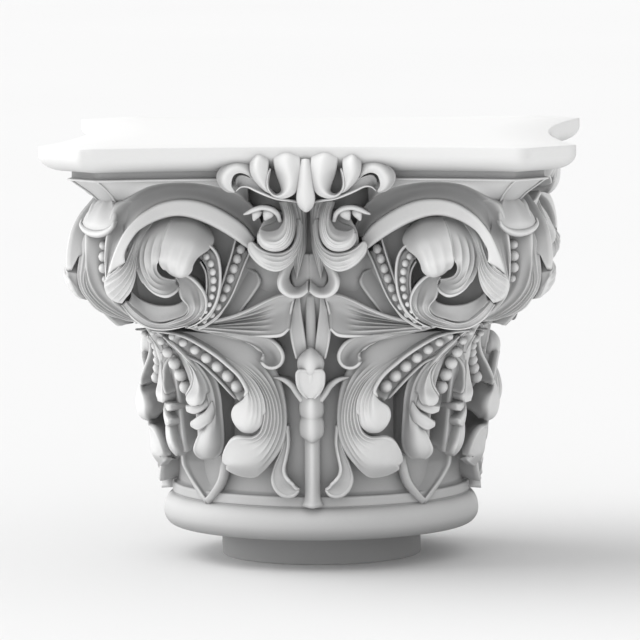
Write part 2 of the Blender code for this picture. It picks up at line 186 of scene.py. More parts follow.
class StageSettings(bpy.types.PropertyGroup):
    """Floor and light."""

    floor: FloatProperty(name="Floor", description="Half width of the floor", default=30.0, unit="LENGTH")
    sky: FloatProperty(name="Sky", description="Strength of the light from all round", default=0.8)
    key: FloatProperty(name="Key", description="Strength of the sun", default=2.1)
    fill: FloatProperty(
        name="Fill", description="Power of the low lamp in front", default=4.0, unit="POWER"
    )


class Value:
    """A shader socket that takes part in arithmetic: each operation adds a Math node to its tree."""

    def __init__(self, tree, socket):
        self.tree = tree
        self.socket = socket

    def math(self, operation, *others, swap=False):
        """A Math node on this value and the others, in this order or swapped."""
        node = self.tree.nodes.new("ShaderNodeMath")
        node.operation = operation
        terms = (self, *others)
        for place, term in enumerate(reversed(terms) if swap else terms):
            if isinstance(term, Value):
                self.tree.links.new(term.socket, node.inputs[place])
            else:
                node.inputs[place].default_value = term
        return Value(self.tree, node.outputs[0])

    def __add__(self, other):
        return self.math("ADD", other)

    def __mul__(self, other):
        return self.math("MULTIPLY", other)

    def __sub__(self, other):
        return self.math("SUBTRACT", other)

    def __rsub__(self, other):
        return self.math("SUBTRACT", other, swap=True)

    def __pow__(self, other):
        return self.math("POWER", other)

    __radd__ = __add__
    __rmul__ = __mul__

    def clamp(self):
        return self.math("MAXIMUM", 0.0).math("MINIMUM", 1.0)


class Shader:
    """A material's nodes, with one method that adds any of them."""

    def __init__(self, name):
        self.material = bpy.data.materials.new(name)
        self.material.use_nodes = True
        self.tree = self.material.node_tree
        self.surface = self.tree.nodes["Principled BSDF"]

    def node(self, kind, settings=None, **sockets):
        """Adds a node: its settings first, then the values or links of its sockets, by name."""
        node = self.tree.nodes.new("ShaderNode" + kind)
        for setting, value in (settings or {}).items():
            setattr(node, setting, value)
        for name, value in sockets.items():
            self.feed(node.inputs[name.replace("_", " ")], value)
        return node

    def feed(self, socket, value):
        """Sets a socket to a number, or links it to another socket or value."""
        if isinstance(value, Value):
            value = value.socket
        if isinstance(value, bpy.types.NodeSocket):
            self.tree.links.new(value, socket)
        else:
            socket.default_value = value

    def finish(self, **sockets):
        """Sets or links sockets of the surface, by name."""
        for name, value in sockets.items():
            self.feed(self.surface.inputs[name.replace("_", " ")], value)

    def value(self, node, output=0):
        return Value(self.tree, node.outputs[output])

    def mix(self, factor, first, second):
        """A colour between two others."""
        node = self.tree.nodes.new("ShaderNodeMix")
        node.data_type = "RGBA"
        self.feed(node.inputs[0], factor)
        self.feed(node.inputs[6], first)
        self.feed(node.inputs[7], second)
        return node.outputs[2]


def stone_material(settings):
    """Pale matt stone with a faint cloud and a fine grain, with painted shade in its hollows from ambient
    occlusion and a painted highlight on its ridges from pointiness.
    """
    shader = Shader("carved_stone")
    place = shader.node("TexCoord").outputs["Object"]
    cloud = shader.value(shader.node("TexNoise", Vector=place, Scale=CLOUD_SCALE, Detail=3.0)) - 0.5
    grain = shader.value(shader.node("TexNoise", Vector=place, Scale=GRAIN_SCALE, Detail=2.0))
    # Ambient occlusion that drives the painted shade in the hollows
    hollow = shader.node("AmbientOcclusion", {"samples": 12}, Distance=settings.painted_shade_reach)
    open_share = shader.value(hollow, "AO")
    # Painted highlight: pointiness lightens convex ridges and edges, holding back the painted shade there
    ridge = (shader.value(shader.node("NewGeometry"), "Pointiness") - 0.5) * RIDGE_PAINTED_HIGHLIGHT
    # Mix factor towards the painted shade colour: painted shade from occlusion, less the painted highlight
    # on ridges, plus a faint random tone from the cloud
    shade = (1 - open_share**PAINTED_SHADE_POWER - ridge + cloud * CLOUD_SHADE).clamp()
    bump = shader.node("Bump", Height=grain, Distance=GRAIN_DEPTH, Strength=GRAIN_STRENGTH)
    shader.finish(
        Base_Color=shader.mix(shade, tuple(settings.light), tuple(settings.painted_shade_colour)),
        Roughness=(ROUGHNESS + cloud * CLOUD_ROUGHNESS).clamp(),
        Normal=bump.outputs["Normal"],
        Specular_IOR_Level=SPECULAR,
    )
    return shader.material


def unit(vectors):
    """Vectors at a length of one."""
    return vectors / np.maximum(np.linalg.norm(vectors, axis=-1, keepdims=True), 1e-9)


def smooth_step(x, start, end):
    """A share that rises from 0 at the start to 1 at the end, as 3s^2 - 2s^3."""
    share = np.clip((x - start) / (end - start), 0, 1)
    return share * share * (3 - 2 * share)


def smooth_through(rows, steps):
    """A curve through the rows of an array, at the given row numbers: each stretch is the cubic that
    takes its direction at either end from the neighbours of that row."""
    ends = np.concatenate([2 * rows[:1] - rows[1:2], rows, 2 * rows[-1:] - rows[-2:-1]])
    first = np.minimum(steps.astype(int), len(rows) - 2)
    f = (steps - first).reshape((-1,) + (1,) * (rows.ndim - 1))
    a, b, c, d = (ends[first + k] for k in range(4))
    return 0.5 * (2 * b + (c - a) * f + (2 * a - 5 * b + 4 * c - d) * f**2 + (3 * b - a - 3 * c + d) * f**3)


def run_along(points, axis):
    """Distance from the first point along one axis of a grid of points, summed from step to step."""
    steps = np.linalg.norm(np.diff(points, axis=axis), axis=-1)
    return np.insert(np.cumsum(steps, axis=axis), 0, 0, axis=axis)


def curve(stations, count):
    """The smooth curve through the stations, at equal steps of its own length, as (x, y, z, the rest)."""
    rows = np.array(stations, float)
    rows[:, [1, 2]] = rows[:, [2, 1]]
    dense = smooth_through(rows, np.linspace(0, len(rows) - 1, CURVE_STEPS * len(rows)))
    length = run_along(dense[:, :3], 0)
    even = np.linspace(0, length[-1], count)
    return np.stack([np.interp(even, length, column) for column in dense.T], axis=1)


def across(rail):
    """A rail on the other side of the corner, with x and y swapped."""
    return [(y, z, x, *rest) for x, z, y, *rest in rail]


def bell_radius(height):
    """The bell's radius at a height: straight below, then swelling in an S curve behind the scrolls."""
    rise = (height - NECK_TOP) / (BELL_TOP - NECK_TOP)
    return BELL_RADIUS + BELL_FLARE * smooth_step(rise, BELL_STRAIGHT, BELL_FULL)


def facing_of(points, facing):
    """The way out of the column at each point: away from the axis, or one fixed way."""
    return unit(points * (1, 1, 0) if facing is ROUND else np.broadcast_to(facing, points.shape))


def directions(points):
    """At each point of a path: ahead along it, to its side, and up from the surface that it lies on."""
    ahead = unit(np.gradient(points, axis=0))
    side = unit(np.cross(ahead, facing_of(points, ROUND)))
    return ahead, side, np.cross(side, ahead)


def outwards(points, quads, triangles):
    """The skin with its faces turned to point out, by the sign of the volume that it closes."""
    split = np.concatenate([quads[:, [0, 1, 2]], quads[:, [0, 2, 3]], triangles])
    a, b, c = (points[split[:, k]] for k in range(3))
    if np.einsum("ij,ij->", a, np.cross(b, c)) < 0:
        quads, triangles = quads[:, ::-1], triangles[:, ::-1]
    return points, quads, triangles


def pole_shell(loops, start, end):
    """A closed skin over a stack of closed loops, drawn to one point at each end."""
    rows, count = loops.shape[:2]
    index = np.arange(rows * count).reshape(rows, count)
    after = np.roll(index, -1, axis=1)
    quads = np.stack([index[:-1], after[:-1], after[1:], index[1:]], axis=-1).reshape(-1, 4)
    pole = np.full(count, rows * count)
    first = np.stack([after[0], index[0], pole], axis=1)
    last = np.stack([index[-1], after[-1], pole + 1], axis=1)
    points = np.concatenate([loops.reshape(-1, 3), start[None], end[None]])
    return outwards(points, quads, np.concatenate([first, last]))


def shell(loops):
    """A closed skin over a stack of closed loops, with a fan to the middle of the first and of the last."""
    return pole_shell(loops, loops[0].mean(axis=0), loops[-1].mean(axis=0))


def edge_distance(sheet, tip, free):
    """How far each point of a sheet is from its free edge: from either side, once that has come free, and
    from the tip. A side that is held counts as far away."""
    t = np.linspace(0, 1, len(sheet))[:, None]
    held = HELD_AWAY * (1 - smooth_step(t, np.array([free]) - FREE_FROM, np.array([free]) + FREE_PAST))
    left = run_along(sheet, 1)
    near = np.minimum(left + held[:, :1], left[:, -1:] - left + held[:, 1:])
    if tip:
        down = run_along(sheet, 0)
        near = np.minimum(near, down[-1:] - down)
    return near


def with_back(front, facing, deep, undercut, thick, late):
    """Closed loops from the rows of a leaf's front and three lines behind each side: straight behind the
    edge by its thickness, drawn in part of the way, and at the back. The back is narrower by the undercut
    and set late along the leaf, so that the edge and the tip stand over a hollow, and it ends in the bell
    or at a depth."""
    ends = front[:, [-1, 0]]
    middle = front.mean(axis=1, keepdims=True)
    if deep is None:
        inside = bell_radius(middle[..., 2]) - BACK_IN_BELL
        deep = np.maximum(np.linalg.norm(middle[..., :2], axis=-1) - inside, LEAST_DEPTH)[..., None]
    t = np.linspace(0, 1, len(front))
    lines = []
    for width, share, lag in (
        (LIP_WIDTH, 0.0, 0.0),
        (1 - NECK_SHARE * (1 - undercut), NECK_DEPTH, NECK_SHARE * late),
        (undercut, 1.0, late),
    ):
        behind = (thick + share * (deep - thick)) * facing_of(middle, facing)
        line = middle + width * (ends - middle) - behind
        lines.append(smooth_through(line, (len(front) - 1) * (t - lag * t**2)))
    lip, neck, back = lines
    return np.concatenate([front, lip[:, :1], neck[:, :1], back, neck[:, 1:], lip[:, 1:]], axis=1)


def leaf(
    *rails, rows, columns, edge, flutes=0, groove=0.0, fade=None, span=(0.0, 1.0), tip=True, crown=0.0,
    rim=None, facing=ROUND, deep=None, undercut=0.5, thick=4.0, late=0.12, free=(0.0, 0.0),
):
    """A leaf lobe: a sheet that runs smoothly from rail to rail, with a closed back.

    The sheet is raised by a crown, 1 - (2s - 1)^2 at a share s of the way across. Flutes hollow it
    between sharp ridges, by a power of |sin(pi n s)|, over a span of its width, and fade in and out along
    its length. A rim is a squared cosine at a distance from the edge. At the edge itself the sheet falls
    back in a quarter round, on either side only from the share of its length where that side comes free
    of its neighbour.
    """
    carving = bpy.context.scene.capital_carving
    steps = np.linspace(0, len(rails) - 1, columns)
    sheet = smooth_through(np.stack([curve(rail, rows) for rail in rails]), steps).transpose(1, 0, 2)
    normal = unit(np.cross(np.gradient(sheet, axis=1), np.gradient(sheet, axis=0)))
    if np.einsum("ijk,ijk->", normal, facing_of(sheet, facing)) < 0:
        normal = -normal
    s = np.linspace(0, 1, columns)[None, :]
    t = np.linspace(0, 1, rows)[:, None]
    lift = crown * (1 - (2 * s - 1) ** 2) * np.ones_like(t)
    if flutes:
        strength = smooth_step(t, fade[0], fade[1]) * (1 - smooth_step(t, fade[2], fade[3]))
        part = np.clip((s - span[0]) / (span[1] - span[0]), 0, 1)
        wave = np.abs(np.sin(math.pi * flutes * part)) ** FLUTE_POWER
        lift = lift - carving.flute * groove * strength * wave
    near = edge_distance(sheet, tip, free)
    if rim:
        height, width = rim
        lift = lift + height * np.cos(np.clip((near - width) / width, -1, 1) * math.pi / 2) ** 2
    radius = edge * carving.edge
    lift = lift - radius * (1 - np.sqrt(1 - (1 - np.clip(near / radius, 0, 1)) ** 2))
    front = sheet + lift[..., None] * normal
    return shell(with_back(front, facing, deep, undercut, thick, late))


def ribbon(midrib, bulge, facing=ROUND, close=0.0, **form):
    """A leaf with its rails set either side of a midrib of (x, z, y, half width), and bulged between
    them. It closes in a half ellipse over the last share of its length."""
    path = curve(midrib, MIDRIB_STEPS * len(midrib))
    points, half = path[:, :3], path[:, 3:]
    if close:
        run = np.linspace(0, 1, len(path))[:, None]
        half = half * np.sqrt(np.clip(1 - np.clip((run - 1 + close) / close, 0, 1) ** 2, TIP_SHARE, 1))
    ahead = np.gradient(points, axis=0)
    side = unit(np.cross(facing_of(points, facing), ahead))
    rise = unit(np.cross(ahead, side))
    rails = [points - half * side, points + bulge * half * rise, points + half * side]
    return leaf(*(rail[:, [0, 2, 1]] for rail in rails), facing=facing, **form)


def ridge(midrib, rows, edge, **form):
    """A thin rounded ribbon along a midrib, such as a bead channel has on either side."""
    return ribbon(midrib, bulge=0.9, rows=rows, columns=8, edge=edge, **form)


def cord(midrib, rows, sides):
    """A round moulding along a midrib of (x, z, y, radius): circles square to the path."""
    path = curve(midrib, rows)
    points, radius = path[:, :3], path[:, 3:]
    side, rise = directions(points)[1:]
    turn = np.linspace(0, 2 * math.pi, sides, endpoint=False)[None, :, None]
    ring = np.cos(turn) * side[:, None] + np.sin(turn) * rise[:, None]
    return shell(points[:, None] + radius[:, None] * ring)


def beads(midrib, count, long=1.0):
    """Beads along a midrib of (x, z, y, radius): spheres drawn out a little along the path."""
    path = curve(midrib, count)
    centres, radii = path[:, :3], path[:, 3] * bpy.context.scene.capital_carving.bead
    swing = np.linspace(0, math.pi, BEAD_RINGS + 1)[1:-1, None]
    turn = np.linspace(0, 2 * math.pi, BEAD_SIDES, endpoint=False)[None, :]
    along = (long * np.cos(swing) * np.ones_like(turn))[..., None]
    aside = (np.sin(swing) * np.cos(turn))[..., None]
    above = (np.sin(swing) * np.sin(turn))[..., None]
    made = []
    for centre, radius, ahead, side, rise in zip(centres, radii, *directions(centres)):
        ball = along * ahead + aside * side + above * rise
        pole = radius * long * ahead
        made.append(pole_shell(centre + radius * ball, centre + pole, centre - pole))
    return made


def quarter_turns():
    """The four quarter turns about the column's axis."""
    quarter = np.array([[0.0, -1, 0], [1, 0, 0], [0, 0, 1]])
    return [np.linalg.matrix_power(quarter, k) for k in range(4)]


def reflections(swapped):
    """Each sign of x and y, and if asked the same with x and y swapped."""
    signs = [np.diag([a, b, 1.0]) for a in (1, -1) for b in (1, -1)]
    swap = np.array([[0.0, 1, 0], [1, 0, 0], [0, 0, 1]])
    return signs + [sign @ swap for sign in signs] if swapped else signs


def placed(skin, way):
    """A skin moved by a matrix, and turned right side out again where the matrix mirrors it."""
    points, quads, triangles = skin
    flip = -1 if np.linalg.det(way) < 0 else 1
    return points @ way.T, quads[:, ::flip], triangles[:, ::flip]


def joined_mesh(name, skins):
    """One smooth mesh, in metres, from closed skins of quads and triangles in millimetres."""
    starts = np.cumsum([0] + [len(points) for points, _, _ in skins])
    points = np.concatenate([skin[0] for skin in skins]) * METRES
    quads = np.concatenate([skin[1] + start for skin, start in zip(skins, starts)])
    triangles = np.concatenate([skin[2] + start for skin, start in zip(skins, starts)])
    loops = np.concatenate([quads.ravel(), triangles.ravel()])
    begins = np.concatenate([np.arange(len(quads)) * 4, 4 * len(quads) + np.arange(len(triangles)) * 3])
    mesh = bpy.data.meshes.new(name)
    mesh.vertices.add(len(points))
    mesh.vertices.foreach_set("co", points.astype(np.float32).ravel())
    mesh.loops.add(len(loops))
    mesh.loops.foreach_set("vertex_index", loops.astype(np.int32))
    mesh.polygons.add(len(begins))
    mesh.polygons.foreach_set("loop_start", begins.astype(np.int32))
    mesh.polygons.foreach_set("use_smooth", np.ones(len(begins), bool))
    mesh.update(calc_edges=True)
    return mesh


def add_object(name, data):
    """An object of a mesh, a lamp or a camera, in the scene."""
    made = bpy.data.objects.new(name, data)
    bpy.context.scene.collection.objects.link(made)
    return made


def stone_piece(name, halves=(), middles=(), corners=(), whole=()):
    """One piece from closed skins: halves stand eight times round the capital, middles and corners four."""
    groups = (
        (halves, reflections(swapped=True)),
        (middles, quarter_turns()),
        (corners, reflections(swapped=False)),
        (whole, [np.eye(3)]),
    )
    skins = [placed(skin, way) for group, ways in groups for skin in group for way in ways]
    made = add_object(name, joined_mesh(name, skins))
    stone = bpy.data.materials.get("carved_stone") or stone_material(bpy.context.scene.capital_stone)
    made.data.materials.append(stone)
    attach(made, "root")
    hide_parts(NODE)


def arc(centre, radii, start, end, steps):
    """Points of an elliptic arc in radius and height, angles in degrees from the outward side."""
    angles = np.radians(np.linspace(start, end, steps + 1))
    return [(centre[0] + radii[0] * math.cos(a), centre[1] + radii[1] * math.sin(a)) for a in angles]


def turned(profile):
    """A skin turned about the column's axis from a profile of (radius, height), closed on the axis."""
    rows = np.array(profile, float)
    turn = np.linspace(0, 2 * math.pi, TURNED_SIDES, endpoint=False)
    ring = np.stack([np.sin(turn), -np.cos(turn)], axis=1)
    heights = np.broadcast_to(rows[:, None, 1:], (len(rows), TURNED_SIDES, 1))
    loops = np.concatenate([rows[:, None, :1] * ring[None], heights], axis=2)
    return pole_shell(loops, np.array([0, 0, rows[0, 1]]), np.array([0, 0, rows[-1, 1]]))


def base_profile():
    """Radius and height of the spigot, torus, neck and bell, from below."""
    foot = (SPIGOT_RADIUS - SPIGOT_ROUND, SPIGOT_ROUND)
    torus = (TORUS_RADIUS - TORUS_BULGE, TORUS_MIDDLE)
    neck = (NECK_RADIUS - NECK_ROUND, NECK_TOP - NECK_ROUND)
    profile = [(0.5, 0), (foot[0], 0)]
    profile += arc(foot, (SPIGOT_ROUND, SPIGOT_ROUND), -90, 0, SMALL_STEPS)
    profile += [
        (SPIGOT_RADIUS, SPIGOT_TOP / 2), (SPIGOT_RADIUS, SPIGOT_TOP - 0.5),
        (SPIGOT_RADIUS + 0.5, SPIGOT_TOP), (BED_MIDDLE, SPIGOT_TOP), (torus[0] - 1, SPIGOT_TOP),
    ]
    profile += arc(torus, (TORUS_BULGE, TORUS_MIDDLE - SPIGOT_TOP), -90, 0, TORUS_STEPS)
    profile += arc(torus, (TORUS_BULGE, TORUS_TOP - TORUS_MIDDLE), 0, 80, TORUS_STEPS)[1:]
    profile += arc((neck[0], TORUS_TOP + NECK_ROUND), (NECK_ROUND, NECK_ROUND), -60, 0, SMALL_STEPS - 1)
    profile += [(NECK_RADIUS, NECK_TOP - 3)]
    profile += arc(neck, (NECK_ROUND, NECK_ROUND), 0, 90, SMALL_STEPS)
    profile += [(BELL_RADIUS, NECK_TOP + 2)]
    heights = np.linspace(NECK_TOP + 4, BELL_TOP + 4, BELL_STEPS)
    profile += [(float(bell_radius(height)), float(height)) for height in heights]
    return profile + [(60, BELL_TOP + 4)]


def abacus_ring(set_in, height):
    """One level of the abacus, set in from its faces: four sides hollow as parabolas, and cut corners."""
    half = ABACUS_HALF - set_in
    side = ABACUS_SIDE - set_in * math.tan(CORNER_ANGLE)
    x = np.linspace(-side, side, SIDE_STEPS + 1)
    y = half - ABACUS_HOLLOW * (1 - (x / side) ** 2)
    cut = np.linspace(0, 1, CUT_STEPS + 1)[1:-1, None]
    run = np.concatenate([np.stack([x, y], axis=1), (1 - cut) * (side, half) + cut * (half, side)])
    ring = np.concatenate([run @ turn[:2, :2] for turn in quarter_turns()])
    return np.column_stack([ring, np.full(len(ring), height)])


def abacus_levels():
    """(set in, height) of the abacus from below: soffit, fillet, sunk band, round, and the slab's edge."""
    levels = [
        (90, FILLET_FOOT), (40, FILLET_FOOT), (FILLET_IN + 0.4, FILLET_FOOT),
        (FILLET_IN, FILLET_FOOT + 0.4), (FILLET_IN, FILLET_EDGE - 0.5), (FILLET_IN + 0.5, FILLET_EDGE),
        (BAND_IN - 0.6, FILLET_EDGE + 0.4), (BAND_IN, FILLET_EDGE + 1), (BAND_IN, ROUND_FOOT - 0.4),
        (BAND_IN - 0.5, ROUND_FOOT),
    ]
    for swing in np.radians(np.linspace(0, 90, ROUND_STEPS)):
        rise = ROUND_TALL * (1 - math.cos(swing))
        levels.append((ROUND_IN * (1 - math.sin(swing)), ROUND_FOOT + 0.2 + rise))
    return levels + [
        (0.0, TALL_MM - 4), (0.0, TALL_MM - 0.9), (0.25, TALL_MM - 0.25), (0.9, TALL_MM), (60, TALL_MM),
    ]


def abacus_skin():
    """The abacus lofted through its levels."""
    levels = abacus_levels()
    rings = np.array([abacus_ring(*level) for level in levels])
    return pole_shell(rings, np.array([0, 0, levels[0][1]]), np.array([0, 0, TALL_MM]))


def cavetto():
    """The hollow moulding under the fillet, cut into an arch over the roundel, with a fine arris down its
    end, and its tongue at the cut corner."""
    top = [
        (56, 377, 198.3), (70, 377, 199.5), (90, 377, 201.7), (110, 377, 204.4), (130, 377, 207.6),
        (150, 377, 211.3), (170, 377, 215.5), (182, 377, 218.3), (194.5, 377, 221.3),
    ]
    middle = [
        (56, 368, 188), (70, 372, 195), (90, 374.8, 198.8), (110, 375.8, 201.8), (130, 375.8, 205),
        (150, 374, 208), (168, 370, 209.5), (178, 367.5, 209.5), (185.5, 366.5, 208),
    ]
    arch = [
        (56, 353, 178), (62, 359, 188), (75, 366.5, 194.5), (90, 371, 198), (110, 374, 201.3),
        (130, 374, 204.4), (145, 371.5, 206.5), (156, 366.5, 206), (165, 361, 203), (172, 357, 198.5),
        (178.3, 354, 192.5),
    ]
    left = [
        (194.5, 377, 221.3), (188.5, 370.4, 213), (183.4, 363.6, 204), (180, 356.8, 197),
        (178.3, 353, 192.5),
    ]
    crest = [
        (207.8, 377, 207.8), (200.5, 369.5, 200.5), (195, 362.5, 195), (190.5, 356, 190.5),
        (187, 350.5, 187),
    ]
    arris = [(x, z, y + 0.3, 1.1) for x, z, y in left]
    form = {"edge": 0.5, "tip": False, "deep": 30, "thick": 2}
    arched = leaf(arch, middle, top, facing=OUT, rows=72, columns=14, undercut=0.95, **form)
    tongue = leaf(left, crest, across(left), facing=CORNER, rows=20, columns=12, undercut=0.9, **form)
    return [arched, cord(arris, rows=20, sides=8)], [tongue]


def main_leaf():
    """The large leaf that falls from the corner towards the stem: two broad lobes, parted by a
    groove, and a curled foot."""
    root = (140, 231, 157)
    parting = [
        root, (104, 217, 150.5), (76, 202, 154), (55, 186, 162), (45, 170, 168), (43, 155, 169),
        (45, 143, 168),
    ]
    parting_up = parting + [(50, 136.5, 165), (56, 133.5, 161)]
    parting_down = parting + [
        (49, 134, 166), (58, 129.5, 164), (70, 131, 161), (78, 128, 156), (83.5, 120, 151),
        (86.5, 111, 147), (86, 103, 144),
    ]
    inner = [
        root, (118, 224, 151.5), (98, 213, 150.5), (80, 200.5, 153), (67, 188, 159.5), (61, 176, 166.5),
        (65, 168, 168.5), (74, 161, 166.5), (77, 152, 164), (74, 143, 164), (69, 137, 162),
        (63, 133.5, 160),
    ]
    upper = [
        root, (110, 219, 151.5), (84, 203, 155), (66, 187, 162.5), (57, 171, 171.5), (56, 157, 175),
        (58, 146, 174), (60, 138, 170), (60, 133.5, 162),
    ]
    lower = [
        root, (98, 216, 149.5), (68, 203, 152.5), (48, 188, 157.5), (37, 171, 160), (33, 154, 160.5),
        (34, 139, 160.5), (40, 124, 161), (50, 112, 161), (62, 106, 160), (74, 104, 156), (84, 102, 148),
    ]
    outer = [
        (140, 232, 155), (112, 230.5, 150), (84, 227, 150), (58, 219, 149.5), (39, 204, 148.5),
        (28, 184, 147.5), (23.5, 163, 146.5), (22.5, 144, 146.5), (25, 126, 147), (31.5, 112.5, 148),
        (39, 103, 150), (46, 95.5, 151), (54, 90, 151), (66, 90.5, 150), (77, 94, 147), (84.5, 99, 143),
    ]
    foot = [
        (25, 140, 148, 2), (25, 124, 148, 3), (28, 111, 150, 3.8), (31.5, 100, 152, 5),
        (31.5, 90, 155, 7.5), (26.5, 82, 156, 8.5), (18.5, 79, 156, 6.5), (12.5, 79.5, 154, 3.5),
    ]
    return [
        leaf(
            parting_up, upper, inner, rows=64, columns=37, flutes=4, groove=1.3,
            fade=(0.5, 0.65, 0.78, 0.92), span=(0.0, 0.6), edge=4, free=(0.84, 0.5), undercut=0.4,
            late=0.2,
        ),
        leaf(
            outer, lower, parting_down, rows=80, columns=55, flutes=6, groove=2.6,
            fade=(0.36, 0.55, 0.68, 0.86), span=(0.1, 0.97), edge=3.4, free=(0.0, 0.6), rim=(0.5, 1.6),
            undercut=0.45, late=0.2,
        ),
        ribbon(foot, bulge=-0.5, rows=40, columns=14, edge=1.6, rim=(1.2, 1.5), close=0.12),
    ]


def second_leaf():
    """The narrower leaf beside the corner's beads: a long body that ends in a round lobe, with a flap and
    two lobes over its outer edge, and a web behind them."""
    left = [
        (138, 220, 143), (118, 211, 141), (101, 198, 139), (90, 184, 138), (85.5, 168, 137),
        (84, 151, 136), (83, 135, 135), (83, 121, 135), (87, 111, 133), (95, 105.5, 131),
    ]
    middle = [
        (138, 221, 145), (123, 210, 144), (110, 197, 144), (101, 182, 143), (96, 165, 142),
        (95, 149, 142), (97, 134, 143), (99, 121, 142), (101, 111, 138), (99.5, 105.5, 132),
    ]
    right = [
        (139, 222, 144), (127, 210, 141), (118, 200, 143), (112, 186, 144), (106, 170, 142),
        (102, 158, 138), (103, 147, 137), (106, 138, 137), (109, 131, 137), (113, 122, 136),
        (114.5, 115, 134), (111, 108.5, 131), (104, 105.3, 131),
    ]
    flap_left = [
        (122, 207, 143), (108, 194, 143.5), (100, 179, 144), (99.5, 167, 145.5), (104, 159.5, 147),
    ]
    flap_middle = [(123, 207, 145), (112, 193, 147), (107, 178, 149), (108.5, 167, 151), (110, 158, 148)]
    flap_right = [
        (124, 207, 143), (116, 196, 144.5), (113, 186, 145), (115, 176, 144), (120.5, 167, 143),
        (119, 161, 142.5), (113.5, 157, 142.5),
    ]
    small_top = [(101, 165, 141), (108, 161, 142), (115, 159, 140), (121, 158, 136)]
    small_low = [(98, 158, 141), (104, 153, 141.5), (112, 149.5, 139), (119.5, 151.5, 135.5)]
    lower_top = [(95, 163, 142), (101, 154, 143.5), (109, 148.5, 142), (116.5, 142.5, 137)]
    lower_low = [(92, 150, 141), (96, 143, 142.5), (103, 137, 142), (109, 134.5, 140), (115, 137.5, 136)]
    web_in = [
        (121, 205, 138), (106, 182, 137), (98, 160, 136), (97, 140, 135), (100, 122, 132),
        (102, 110, 129),
    ]
    web_out = [
        (127, 205, 131), (118, 182, 131), (113.5, 160, 129), (111, 140, 127), (110, 122, 125),
        (107, 110, 123),
    ]
    return [
        leaf(web_in, web_out, rows=24, columns=8, edge=0.8, tip=False),
        leaf(
            left, middle, right, rows=49, columns=28, flutes=3, groove=1.4, fade=(0.1, 0.3, 0.6, 0.8),
            edge=2.2, rim=(0.9, 1.8),
        ),
        leaf(
            flap_left, flap_middle, flap_right, rows=31, columns=21, flutes=2, groove=1.0,
            fade=(0.1, 0.3, 0.7, 0.9), edge=2.4, free=(0.78, 0.2), rim=(0.5, 1.6),
        ),
        leaf(
            small_top, small_low, rows=21, columns=12, crown=1.2, edge=1.8, free=(0.3, 0.2),
            rim=(0.4, 1.4),
        ),
        leaf(
            lower_top, lower_low, rows=28, columns=17, crown=1.6, edge=2.0, free=(0.4, 0.35),
            rim=(0.5, 1.5),
        ),
    ]


SIDE_BEADS = [
    (131, 226, 159, 3.2), (122, 220.5, 154, 4.1), (112.5, 214.5, 150.5, 4.8), (102, 207, 149, 5.4),
    (91.5, 199, 149, 5.8), (80, 189, 150, 6.1), (70, 178, 152.5, 6.3),
]
CORNER_BEADS = [
    (150, 229, 150, 3.0), (143, 221, 143, 4.0), (139.5, 214, 139.5, 4.7), (134, 203, 134, 5.7),
    (127, 190, 127, 6.4), (121, 174, 121, 6.8),
]


def side_strand():
    """The beads between the two leaves, in their channel between two ridges."""
    floor = [(x, z - 1, y - 4.6, radius * 1.5) for x, z, y, radius in SIDE_BEADS] + [(64, 167, 151, 6)]
    upper = [
        (150, 232, 165, 1.5), (135, 230, 161, 1.875), (120, 226, 157.5, 2.25), (105, 218, 156, 2.5),
        (90, 208, 156.5, 2.5), (80, 200, 158.5, 2.5), (70, 191.5, 162, 2.5), (64, 184, 165, 2.5),
        (60, 175, 168, 2.5), (63, 169.5, 168, 2.25),
    ]
    lower = [
        (140, 226, 154, 1.25), (125, 211, 146, 1.625), (115, 204, 144, 1.875), (105, 199, 143.5, 2),
        (93, 188, 144, 2.125), (85, 180, 145, 2.125), (78, 172.5, 146, 2.125), (71, 165, 146, 1.875),
    ]
    return [
        ribbon(floor, bulge=-0.2, rows=31, columns=8, edge=0.5),
        ridge(upper, rows=43, edge=1.2),
        ridge(lower, rows=37, edge=1.0),
    ] + beads(SIDE_BEADS, 7)


def corner_strand():
    """The beads down the corner, in a channel between two ridges that close in on the scrolls above."""
    floor = [
        (157, 237, 157, 4), (150, 229, 150, 7), (141, 217, 141, 14), (134, 204, 134, 21),
        (127, 190, 127, 25), (121, 176, 121, 22), (115, 162, 115, 16), (112, 150, 112, 8),
    ]
    flank = [
        (156, 236, 150, 1.2), (149, 230, 146, 1.6), (140.5, 222.5, 140, 2), (131, 213, 135, 2.2),
        (123, 205, 134, 2.3), (117, 198, 139, 2.3), (113.5, 190, 142, 2.3), (112.5, 182, 142, 2.2),
        (116, 174, 142, 2), (120, 167, 140, 1.7),
    ]
    channel = ribbon(floor, bulge=-0.35, facing=CORNER, rows=37, columns=18, edge=0.8)
    return [ridge(flank, rows=43, edge=1.2)], [channel] + beads(CORNER_BEADS, 6)


def pointed_leaf():
    """The leaf at the foot of each corner, pointing down, with rolled rims."""
    midrib = [
        (103, 124, 103, 20), (107, 109, 107, 31), (108, 98, 108, 31), (107, 89, 107, 27),
        (106, 80, 106, 20.5), (105.5, 71, 105.5, 11.5), (105.5, 65, 105.5, 5), (105, 61, 105, 1),
    ]
    form = {"rows": 52, "columns": 40, "edge": 3.0, "rim": (2.2, 3.6), "thick": 6.0}
    return [ribbon(midrib, bulge=-0.65, facing=CORNER, **form)]


